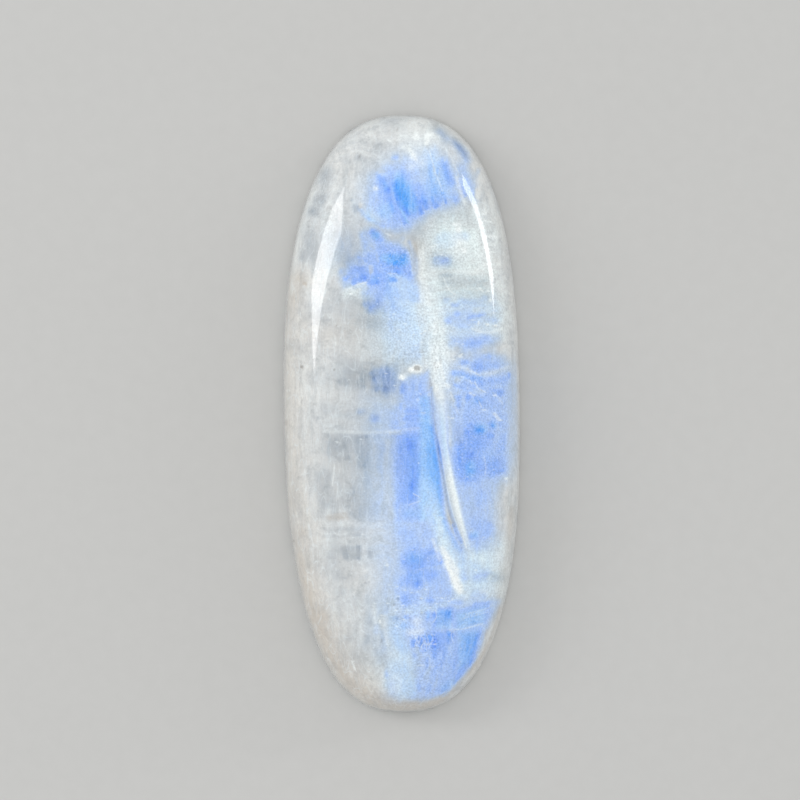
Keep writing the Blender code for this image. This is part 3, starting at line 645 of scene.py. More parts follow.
    (0.24, 0.18, (-1.88, -16.75, 0.19), (-1.88, -16.35, 0.19)),
    (0.77, 0.08, (2.93, -15.33, 0.09), (3.11, -15.33, 0.09)),
    (0.34, 0.08, (3.96, -2.34, 0.09), (3.96, -1.14, 0.09)),
    (0.25, 0.05, (6.33, -16.63, 0.08), (6.1, -17.33, 0.11), (5.79, -18.18, 0.09),
        (5.4, -18.87, 0.08)),
    (0.85, 0.2, (1.36, -17.37, 0.28), (2.34, -17.37, 0.28)),
    (0.24, 0.21, (5.67, -14.05, 0.39), (6.14, -14.05, 0.39)),
    (0.13, 0.21, (6.9, -12.59, 0.31), (7.06, -12.59, 0.31)),
    (0.34, 0.1, (0.73, -17.17, 0.19), (0.98, -17.17, 0.19)),
    (0.72, 0.08, (2.78, -17, 0.15), (3.09, -17, 0.15)),
    (0.23, 0.27, (-4.53, 10.84, 0.34), (-4.43, 10.84, 0.34)),
    (0.25, 0.1, (-2.34, 10.88, 0.2), (-2.34, 11.25, 0.2)),
    (0.2, 0.18, (0.62, 13.15, 0.14), (0.85, 12.14, 0.19), (0.96, 10.76, 0.15)),
    (0.13, 0.13, (0.09, 13.4, 0.2), (0.09, 13.52, 0.2)),
    (0.25, 0.12, (-3.12, 11.53, 0.19), (-3.12, 11.68, 0.19)),
    (0.05, 0.17, (-3.17, 15.87, 0.15), (-3.17, 16.02, 0.15)),
    (0.87, 0.09, (1.41, 16.18, 0.12), (1.41, 16.31, 0.12)),
    (0.25, 0.08, (1.84, 15.52, 0.11), (2.08, 15.52, 0.11)),
    (0.2, 0.16, (2.7, 11.7, 0.23)),
    (0.84, 0.13, (0.53, -3.5, 0.15), (0.53, -3.04, 0.15)),
    (0.55, 0.08, (4.05, -8.51, 0.15), (4.28, -9.13, 0.15), (4.59, -9.82, 0.12)),
)
# Where the painted blue sheen leans to azure.
AZURE_LEAN_MARKINGS = (
    (0.96, 0.3, (1.42, 1.26), (2.04, 1.41), (2.19, 0.49), (2.34, -0.82), (2.58, -2.37),
        (2.81, -3.68), (2.96, -5.06), (3.04, -8.15), (1.42, -8.15), (1.34, -6.61), (1.34, -2.91),
        (1.42, -1.21)),
    (0.48, 0.17, (1.67, -7.2), (2.98, -7.2), (3.52, -8.67), (4.14, -9.82), (4.68, -10.75),
        (5.06, -11.6), (4.45, -12.52), (3.83, -11.36), (3.44, -10.13), (2.75, -9.21),
        (2.13, -8.13)),
    (1, 0.38, (-0.28, 18.27, 0.23), (0.03, 17.35, 0.62), (0.42, 16.42, 0.62), (0.8, 15.8, 0.39)),
    (0.65, 0.72, (1.58, 20.41), (2.81, 20.41), (3.73, 16.71), (2.04, 16.4)),
    (0.59, 0.35, (-1.21, 15.47, 0.54), (-1.21, 15.62, 0.54)),
    (0.94, 0.08, (-0.11, 15.72, 0.08), (0.51, 14.64, 0.08)),
    (0.37, 0.24, (-1.26, 17.47, 0.23), (-1.26, 17.63, 0.23)),
    (1, 0.52, (-2.2, 14.88, 0.31), (-2.55, 15.38, 0.31)),
    (0.98, 0.27, (-1.28, 11.94, 0.31), (-0.58, 11.79, 0.46), (0.11, 11.79, 0.46)),
    (0.8, 0.17, (-1.99, 13.67, 0.31)),
    (0.36, 0.19, (-2.02, 10.26, 0.28), (-2.02, 10.32, 0.28)),
    (0.39, 0.25, (-1.06, 10.78), (-0.06, 10.78), (1.25, 9.63), (1.4, 5.62), (0.63, 4.85),
        (-0.52, 6.39), (-1.37, 8.7)),
    (0.81, 0.31, (6.03, -1.12, 0.39), (6.18, -1.12, 0.39)),
    (0.68, 0.21, (7.06, -0.88, 0.23)),
    (0.8, 0.33, (5.29, -4.53, 0.34), (5.29, -3.98, 0.34)),
    (0.16, 0.33, (6.67, -3.21, 0.62)),
    (0.35, 0.25, (5.52, 0.96, 0.23), (5.98, 0.96, 0.23)),
    (0.29, 0.22, (5.28, 2.78, 0.23), (6.05, 2.78, 0.23)),
    (0.35, 0.36, (4.25, 2.93, 0.23), (4.72, 2.93, 0.23)),
    (0.15, 0.32, (0.83, -6.04, 0.23), (0.83, -1.87, 0.23)),
    (0.53, 0.23, (1.73, -0.17, 0.15), (1.73, 1.07, 0.15)),
    (0.36, 0.3, (0.82, -11.07, 0.46), (1.13, -11.07, 0.46)),
    (0.15, 0.23, (1.12, -12.37, 0.54)),
    (0.39, 0.29, (0.5, -7.62, 0.31), (1.12, -7.62, 0.31)),
    (0.69, 0.23, (5.52, -9.27, 0.23), (5.67, -9.27, 0.23)),
    (0.55, 0.1, (2.68, -15.06), (3.83, -14.98), (3.83, -16.45), (2.68, -16.45)),
    (0.65, 0.23, (4.31, -16.75), (5.85, -16.6), (5.77, -17.52), (5.16, -19.07), (4.39, -19.68)),
    (0.78, 0.27, (4.16, -15.33), (6.48, -14.87), (6.32, -16.11), (4.32, -16.57)),
    (0.71, 0.15, (2.04, -15.59, 0.11), (2.04, -15.19, 0.11)),
    (0.39, 0.23, (3.39, -21.02, 0.39), (3.79, -20.79, 0.39)),
    (0.09, 0.23, (3.74, -19.31, 0.39), (3.74, -17.92, 0.39)),
    (0.34, 0.17, (3.67, -17.23, 0.15), (3.67, -16.77, 0.15)),
    (0.44, 0.23, (1.93, -17.23, 0.23), (2.24, -17.23, 0.23)),
    (0.66, 0.31, (-0.75, -14.36), (0.02, -16.68), (0.94, -18.99), (1.1, -21.61), (-0.29, -21.84),
        (-1.21, -18.99), (-1.21, -15.9)),
    (0.51, 0.37, (-0.24, -16.27, 0.46), (0.07, -16.27, 0.46)),
    (0.95, 0.38, (3.27, 13.29, 0.69), (3.74, 13.29, 0.69)),
    (0.78, 0.22, (4.5, 13.8, 0.39), (4.81, 13.8, 0.39)),
    (0.85, 0.19, (2.51, -6.51, 0.42), (2.81, -7.82, 0.39), (3.08, -8.98, 0.35),
        (3.35, -9.98, 0.31)),
)
# Cream staining, and along the rim a painted warm glow of the edge.
CREAM_STAIN_AND_RIM_GLOW = (
    (0.98, 0.14, (-7.51, 9.98, 0.11), (-7.42, 9.98, 0.11)),
    (0.13, 0.25, (-6.43, -15.45, 0.46), (-6.43, -15.14, 0.46)),
    (0.22, 0.23, (-6.12, -16.82, 0.46), (-5.96, -16.82, 0.46)),
    (1, 1.01, (1.18, 12.84, 0.12), (1.18, 11.15, 0.17), (1.18, 9.34, 0.17), (1.22, 7.55, 0.17)),
    (0.17, 0.53, (-8.18, 12.41, 0.29), (-8.48, 10, 0.31), (-8.64, 7.61, 0.29)),
    (0.88, 1.26, (-8.18, 10.38, 0.36), (-7.94, 10.38, 0.36)),
    (0.62, 1.06, (-8.32, 8.86, 0.34), (-8.32, 9.39, 0.34)),
    (0.28, 0.45, (7.51, 14.82, 0.17), (8.23, 12.41, 0.17), (8.59, 10, 0.14), (8.71, 7.61, 0.12)),
    (0.75, 0.16, (-2.35, 10.87, 0.36), (-2.19, 11.32, 0.36)),
    (0.71, 3, (-8.77, 8.02, 0.27), (-8.83, 4.4, 0.27), (-8.77, -0.42, 0.24), (-8.52, -5.24, 0.34),
        (-8.16, -7.79, 0.41)),
    (0.36, 1.91, (-6.71, 6.02, 0.72), (-4.3, 6.02, 0.72)),
    (0, 0.47, (-6.89, -7.35, 0.24), (-6.89, -5.66, 0.24)),
    (0.68, 0.09, (2, 2.85, 0.1), (2.12, 1.28, 0.1), (2.27, -0.28, 0.1), (2.42, -1.61, 0.1)),
    (0.19, 0.32, (0.44, 4.01, 0.17), (1.07, 4.01, 0.17)),
    (0.96, 0.32, (0.7, 3.26, 0.1), (1.96, 3.26, 0.1)),
    (0.36, 0.35, (4.25, -0.45, 0.12), (4.37, -2.37, 0.12), (4.13, -3.58, 0.1)),
    (0.02, 0.74, (-6.47, -4.2), (-4.3, -4.2), (-4.54, -7.57), (-6.47, -7.57)),
    (0.42, 0.21, (-5.85, -7.83), (-4.16, -7.66), (-4.04, -8.04), (-4.52, -8.14), (-5.6, -8.19)),
    (1, 2.38, (-8.45, -7.57, 0.36), (-8.08, -9.98, 0.41), (-7.6, -12.39, 0.41),
        (-6.76, -15.28, 0.53), (-5.55, -18.41, 0.6), (-4.11, -20.58, 0.6), (-2.3, -22.03, 0.48),
        (-0.13, -22.63, 0.41), (2.04, -22.39, 0.36)),
    (0.87, 0.41, (-7.77, -8.97, 0.36)),
    (0, 3, (-8.29, -8.33, 0.31), (-8.29, -7.99, 0.31)),
    (0.67, 0.48, (-6.65, -15.67, 0.48), (-6.17, -15.67, 0.48)),
    (0.4, 0.4, (8.48, -7.42, 0.27), (8.24, -9.83, 0.27), (7.88, -12.24, 0.29),
        (7.39, -14.17, 0.22)),
    (0.51, 0.14, (7, -15.4, 0.1), (6.45, -16.97, 0.14), (5.91, -17.93, 0.17), (5.31, -18.96, 0.12),
        (4.53, -19.92, 0.12), (3.68, -20.59, 0.12), (2.84, -21.61, 0.12)),
    (0.54, 0.23, (7.51, -14.92, 0.12), (7.51, -15.88, 0.14), (6.91, -17.45, 0.17),
        (6.18, -18.65, 0.19), (5.22, -19.98, 0.19), (3.9, -21.3, 0.22), (2.69, -22.27, 0.24)),
    (0.69, 0.13, (3.58, -7.98, 0.07), (4.3, -9.79, 0.1), (4.78, -11.11, 0.07)),
    (0.35, 0.1, (-5.19, -7.72, 0.06), (-4.34, -7.64, 0.11)),
    (1, 0.08, (6.27, -16.85, 0.07), (6.04, -17.54, 0.08), (5.73, -18.39, 0.08)),
)
# White healed cracks and crumbs, and one painted highlight along the left shoulder of the rim.
VEIL_AND_RIM_HIGHLIGHT = (
    (0.89, 0.09, (-0.16, 21.23, 0.11), (0.44, 21.15, 0.11)),
    (1, 0.13, (0.11, 20.42, 0.11), (0.56, 20.36, 0.11)),
    (0.84, 2.31, (0.59, 21.47), (2.04, 21.65), (2.28, 20.87), (1.92, 20.5), (0.83, 20.5)),
    (0.99, 0.14, (1.97, 20.87, 0.19), (1.97, 21.4, 0.19)),
    (1, 0.13, (2.18, 21.57, 0.04), (2.54, 21.31, 0.12), (2.94, 21.02, 0.07)),
    (0.92, 0.12, (1.11, 21.3, 0.19), (1.11, 21.39, 0.19)),
    (1, 0.34, (0.63, 20.22, 0.08), (0.92, 19.8, 0.14), (1.18, 19.44, 0.07)),
    (0.62, 0.14, (-2.04, 17.26, 0.16), (-1.97, 17.26, 0.16)),
    (0.44, 0.44, (0.8, 19.05, 0.22), (1.55, 19.25, 0.22)),
    (0.52, 0.14, (4.02, 14.53, 0.14), (4.45, 14.53, 0.14)),
    (1, 1.04, (4.33, 12.75, 0.17), (4.46, 13.21, 0.17)),
    (0.79, 0.14, (4.81, 12.52, 0.19)),
    (0.14, 0.12, (3.06, 12.91, 0.14), (3.74, 12.91, 0.14)),
    (0, 0.12, (5.25, 13.26, 0.17), (5.87, 13.26, 0.17)),
    (0.63, 0.11, (6.31, 15.45, 0.19), (6.4, 15.45, 0.19)),
    (0.8, 0.11, (6.46, 13.62, 0.11), (7.45, 13.62, 0.11)),
    (0.38, 0.1, (6.33, 13.01, 0.12), (7.2, 13.01, 0.12)),
    (0.32, 0.14, (3.86, 10.89, 0.1), (6.31, 10.89, 0.1)),
    (0.07, 0.12, (5.19, 9.14, 0.1), (7.16, 9.14, 0.1)),
    (0.13, 0.06, (-4.78, 9.5), (-4.06, 9.78), (-3.34, 9.85), (-2.71, 10.04), (-2.66, 9.83),
        (-2.97, 9.26), (-3.34, 9.14), (-4.06, 9.32)),
    (0.09, 0.14, (-5, 17.35, 0.48), (-5.12, 17.56, 0.48)),
    (0.44, 0.25, (1.28, 12.57), (1.68, 12.75), (1.8, 11.18), (1.76, 7.58), (1.4, 7.58),
        (1.33, 9.98)),
    (0.33, 0.13, (1.7, 10.02), (2, 10.02), (2.48, 7.62), (1.7, 7.62)),
    (0.23, 0.12, (1.98, 10.71, 0.17), (2.43, 10.87, 0.17)),
    (0.04, 0.2, (1.32, 8.21), (3.13, 8.21), (3.37, 7.25), (3.01, 5.8), (2.16, 5.8), (1.44, 6.89)),
    (0.23, 0.17, (2.12, 5.71), (3.08, 5.59), (3.32, 4.39), (3.26, 2.7), (2.72, 2.22), (2.3, 3.18),
        (2.06, 4.75)),
    (0.28, 0.12, (3.02, 5.83), (3.5, 5.34), (3.74, 4.02), (3.5, 2.21), (3.08, 2.21)),
    (0.1, 0.14, (2.44, 2.77), (3.4, 2.77), (3.71, 2.15), (3.94, 1.38), (3.48, 0.92), (3.48, -0.01),
        (3.02, 0.15), (2.63, 0.77), (2.52, 1.54)),
    (0.53, 0.17, (2.5, 2.3), (3.04, 2.38), (3.27, 1.6), (3.42, 0.68), (3.46, -0.17), (3.19, -0.32),
        (3.04, 0.37), (2.73, 0.99), (2.56, 1.45)),
    (0.83, 0.23, (3.28, 2.24, 0.11), (3.55, 2.09, 0.12)),
    (0.37, 0.26, (2.65, 0.83), (3.45, 0.68), (3.65, -0.87), (3.76, -2.41), (3.61, -2.49),
        (2.96, -2.33), (2.73, -0.87)),
    (0.18, 0.12, (3.93, 0.73, 0.06), (4.31, 0.11, 0.08)),
    (0.1, 0.12, (-7.07, 14.96, 0.08), (-6.3, 15.04, 0.09), (-5.52, 15.45, 0.06)),
    (0.16, 0.13, (-6.55, 14.11, 0.08), (-6.47, 13.5, 0.11), (-6.24, 13.11, 0.08)),
    # A painted highlight down the left shoulder, near the rim.
    (0.28, 0.37, (-6.39, 19.55, 0.19), (-7.31, 16.46, 0.2), (-8.01, 12.99, 0.2),
        (-8.39, 9.37, 0.19)),
    (0.31, 0.31, (-3.21, -14.36, 0.11), (-3.18, -15.74, 0.12), (-3.06, -17.44, 0.11)),
    (0.2, 0.11, (-4.26, -14.35, 0.08), (-4.23, -15.28, 0.09)),
    (0.38, 0.2, (-2.15, -14.74, 0.12), (-2, -15.74, 0.15), (-1.84, -16.82, 0.11)),
    (0.26, 0.18, (-1.21, -15.63, 0.19), (-1.29, -16.55, 0.15), (-1.06, -17.71, 0.12)),
    (0.45, 0.12, (2.47, 5.22), (2.77, 5.15), (2.85, 4.37), (2.97, 3.53), (3.24, 3.22),
        (3.31, 2.29), (2.85, 2.14), (2.54, 3.22), (2.31, 3.99), (2.23, 4.76)),
    (0.64, 0.12, (2.95, 3.99, 0.11), (3.11, 3.22, 0.14), (3.26, 2.61, 0.11)),
    (0.8, 0.11, (2.7, 3.6, 0.23), (2.7, 3.75, 0.23)),
    (1, 0.25, (2.93, -10.15), (3.25, -10.37), (3.55, -10.97), (3.73, -11.57), (4.28, -12.3),
        (4.66, -13.14), (4.69, -13.74), (4.4, -13.84), (4.03, -13.38), (3.73, -12.78),
        (3.31, -11.63)),
    (0.82, 0.25, (3.17, -10.34, 0.12), (3.84, -11.48, 0.22), (4.14, -12.09, 0.29)),
    (0.07, 0.13, (2.17, -7.94, 0.12), (2.77, -9.63, 0.14)),
    (0.34, 0.13, (0.01, 2.83, 0.27), (0.2, 2.83, 0.27)),
    (0.57, 0.11, (0.72, 3.38, 0.24), (1.11, 3.38, 0.24)),
    (0.27, 0.14, (1.18, 3.25, 0.14), (1.62, 3.25, 0.14)),
    (0.28, 0.13, (2.48, 6.49, 0.36)),
    (0.33, 0.2, (6.13, 3.04, 0.09), (6.83, 3.06, 0.14), (7.29, 3.23, 0.11), (7.83, 3.46, 0.09),
        (8.25, 3.61, 0.06)),
    (0.51, 0.1, (5.29, 1.56, 0.12)),
    (0.22, 0.13, (5.62, 6.77, 0.08), (6.01, 6.46, 0.09)),
    (0.59, 0.09, (6.85, 8.72, 0.15)),
    (0.18, 0.2, (-8.01, 2.9, 0.1), (-7.05, 1.94, 0.12), (-7.17, -0.47, 0.1)),
    (0.04, 0.14, (-6.11, -9.75, 0.1), (-1.9, -9.75, 0.12)),
    (0.03, 0.17, (-1.64, -9.36, 0.36), (-1.64, -8.64, 0.36)),
    (0.08, 0.1, (-5.76, -12.74, 0.1), (-5.4, -14.67, 0.11), (-5.28, -16.59, 0.1)),
    (0.08, 0.18, (-5.35, -15.16, 0.36), (-5.11, -15.16, 0.36)),
    (0.6, 0.38, (0.64, -16.78, 0.17), (1.49, -16.6, 0.19)),
    (0.38, 0.19, (1.17, -15.98, 0.41)),
    (0.27, 0.3, (-0.37, -21.08, 0.48), (-0.37, -20.36, 0.48)),
    (0.25, 0.12, (6.14, -13.71, 0.19), (6.48, -13.71, 0.19)),
    (0.12, 0.12, (5.58, -11.39, 0.14), (6.25, -11.39, 0.14)),
    (0.75, 0.17, (4.39, 14.1, 0.23)),
    (0.22, 0.12, (-1.84, -15.59, 0.08), (-1.84, -16.37, 0.11), (-1.76, -17.6, 0.08)),
    (0.7, 0.08, (1.1, 3.48, 0.3), (1.27, 3.48, 0.3)),
    (1, 0.06, (0.72, 3.42, 0.13), (0.86, 3.42, 0.13)),
    (0.8, 0.08, (-0.02, 2.81, 0.17), (0.1, 2.77, 0.17)),
)
# The brown pit and the dark specks.
DARK = (
    (0.5, 0.06, (1.1, 3.49, 0.18), (1.26, 3.49, 0.18)),
    (0.55, 0.06, (-7.66, 3.59, 0.1), (-7.61, 3.62, 0.1)),
    (0.4, 0.04, (-5.15, 3.33, 0.07), (-5.15, 3.37, 0.07)),
    (0.35, 0.05, (1.4, 4.73, 0.05), (1.59, 4.7, 0.05)),
    (0.4, 0.04, (-4.97, 6.78, 0.06)),
    (0.3, 0.06, (2.17, 2.69, 0.05), (2.32, 1.24, 0.05), (2.5, -0.32, 0.06), (2.7, -2.01, 0.07),
        (2.94, -3.58, 0.06), (3.23, -5.02, 0.06), (3.45, -6.47, 0.07), (3.7, -7.82, 0.07)),
    (0.32, 0.07, (3.67, -7.43, 0.07), (4.01, -8.52, 0.1), (4.1, -8.78, 0.06)),
    (0.15, 0.06, (4.1, -8.78, 0.05), (4.37, -9.6, 0.06), (4.67, -10.33, 0.05)),
    (0.25, 0.04, (4.58, -10.31, 0.06), (4.58, -10.29, 0.06)),
    (0.3, 0.04, (2.41, 3.89, 0.02), (2.56, 3.47, 0.02), (2.86, 3.53, 0.02), (2.99, 4.01, 0.02),
        (2.94, 4.37, 0.02)),
    (0.4, 0.04, (2.54, 3.87, 0.05)),
    (0.3, 0.04, (-2.09, 17.38, 0.06), (-2.07, 17.38, 0.06)),
    (0.3, 0.04, (-0.32, 21.82, 0.07), (-0.39, 22, 0.07)),
    (0.25, 0.05, (2.29, 12.02, 0.06), (2.39, 12.08, 0.06)),
    (0.3, 0.04, (-1.88, 14.06, 0.05), (-1.67, 13.94, 0.05)),
    (0.3, 0.05, (-3.33, 19.76, 0.06), (-3.07, 19.72, 0.06)),
    (0.3, 0.05, (-8.29, -9.8, 0.1)),
    (0.25, 0.04, (-2.77, -12.93, 0.06)),
    (0.25, 0.04, (-1.54, -17.41, 0.06), (-1.54, -17.34, 0.06)),
    (0.2, 0.04, (-0.57, -14.7, 0.1)),
    (0.2, 0.05, (4.35, -12.31, 0.05), (4.5, -12.31, 0.05)),
    (0.2, 0.05, (1.54, 6.12, 0.1)),
    (0.25, 0.04, (0.93, 6.04, 0.05), (0.93, 6.09, 0.05)),
    (0.25, 0.04, (2.98, 4.01, 0.04), (2.98, 4.13, 0.04)),
    (0.25, 0.04, (-1, -14.84, 0.06), (-1, -14.72, 0.06)),
    (0.22, 0.05, (0.63, -15.82, 0.1), (0.63, -15.68, 0.1)),
    (0.2, 0.06, (-8.89, -0.81, 0.12), (-8.89, -0.57, 0.12)),
    (0.45, 0.05, (2.55, 3.87, 0.06)),
    (0.45, 0.05, (2.99, 3.98, 0.05), (2.99, 4.09, 0.05)),
    (0.3, 0.05, (1.46, 4.69, 0.05), (1.6, 4.69, 0.05)),
)
# Where the wisps slant.
SLANT = (
    (1, 0.48, (-3.28, 16.03), (-2.92, 16.93), (-2.14, 18.44), (-0.94, 19.64), (0.87, 20.85),
        (3.16, 21.09), (4.73, 19.64), (5.81, 17.47), (4.97, 16.03), (3.4, 15.55), (1.96, 15.06),
        (0.87, 14.34), (-0.45, 13.74), (-1.9, 14.28), (-2.62, 14.94)),
)
# Where the wisps run across the stone.
ACROSS = (
    (1, 0.48, (1.84, 11.45), (8.22, 11.45), (8.7, 7.61), (1.84, 7.61)),
    (1, 0.48, (3.64, 8.23), (8.7, 8.23), (8.7, 5.1), (3.76, 5.34)),
    (0.8, 0.48, (-6, 1.24), (-0.21, 1.24), (-0.09, -1.53), (-6, -1.53)),
    (0.6, 0.36, (-0.21, 1.24), (2.2, 1.24), (2.2, -1.17), (-0.09, -1.17)),
    (0.8, 0.48, (-6.36, -8.04), (-0.45, -8.04), (-0.45, -11.41), (-6.24, -11.41)),
    (0.7, 0.36, (3.76, -12.01), (7.98, -12.01), (7.5, -14.66), (3.88, -14.9)),
    (0.9, 0.3, (4.01, -14.66), (7.26, -14.54), (6.17, -16.71), (4.13, -16.71)),
    (0.5, 0.48, (-4.79, 22.54), (-0.21, 22.78), (-0.21, 20.85), (-5.75, 18.2)),
    (0.6, 0.48, (-8.65, 8.23), (-1.66, 8.23), (-1.66, 4.37), (-8.65, 3.41)),
)
# Where the stone is crazed.
CRAZED = (
    (0.5, 0.36, (3.76, 5.22), (6.29, 3.41), (8.22, 3.41), (8.22, -1.89), (4.85, -2.01),
        (3.64, 0.52)),
    (0.5, 0.36, (4.01, -1.89), (8.22, -1.89), (8.22, -5.14), (4.25, -5.14)),
    (0.7, 0.3, (-1.66, 12.78), (0.87, 12.78), (0.87, 10.85), (-0.94, 10.24), (-1.66, 11.21)),
    (1, 0.24, (0.75, -16.83), (2.8, -16.83), (2.8, -18.28), (0.87, -18.52)),
    (0.6, 0.3, (-0.94, -14.18), (3.88, -14.18), (2.68, -15.15), (0.63, -16.83), (-0.94, -16.83)),
    (0.45, 0.36, (1.84, 14.82), (6.29, 14.82), (6.29, 11.21), (1.84, 11.21)),
    (0.6, 0.36, (-1.54, 8.23), (3.64, 8.23), (3.88, 1.96), (2.2, 1.96), (1.47, 4.01),
        (-0.94, 4.01)),
    (0.4, 0.3, (0.87, -18.28), (3.88, -18.28), (3.16, -21.65), (1.23, -21.65)),
    (0.35, 0.48, (-7.44, 18.68), (-5.03, 18.68), (-5.39, 14.82), (-7.56, 12.41)),
)
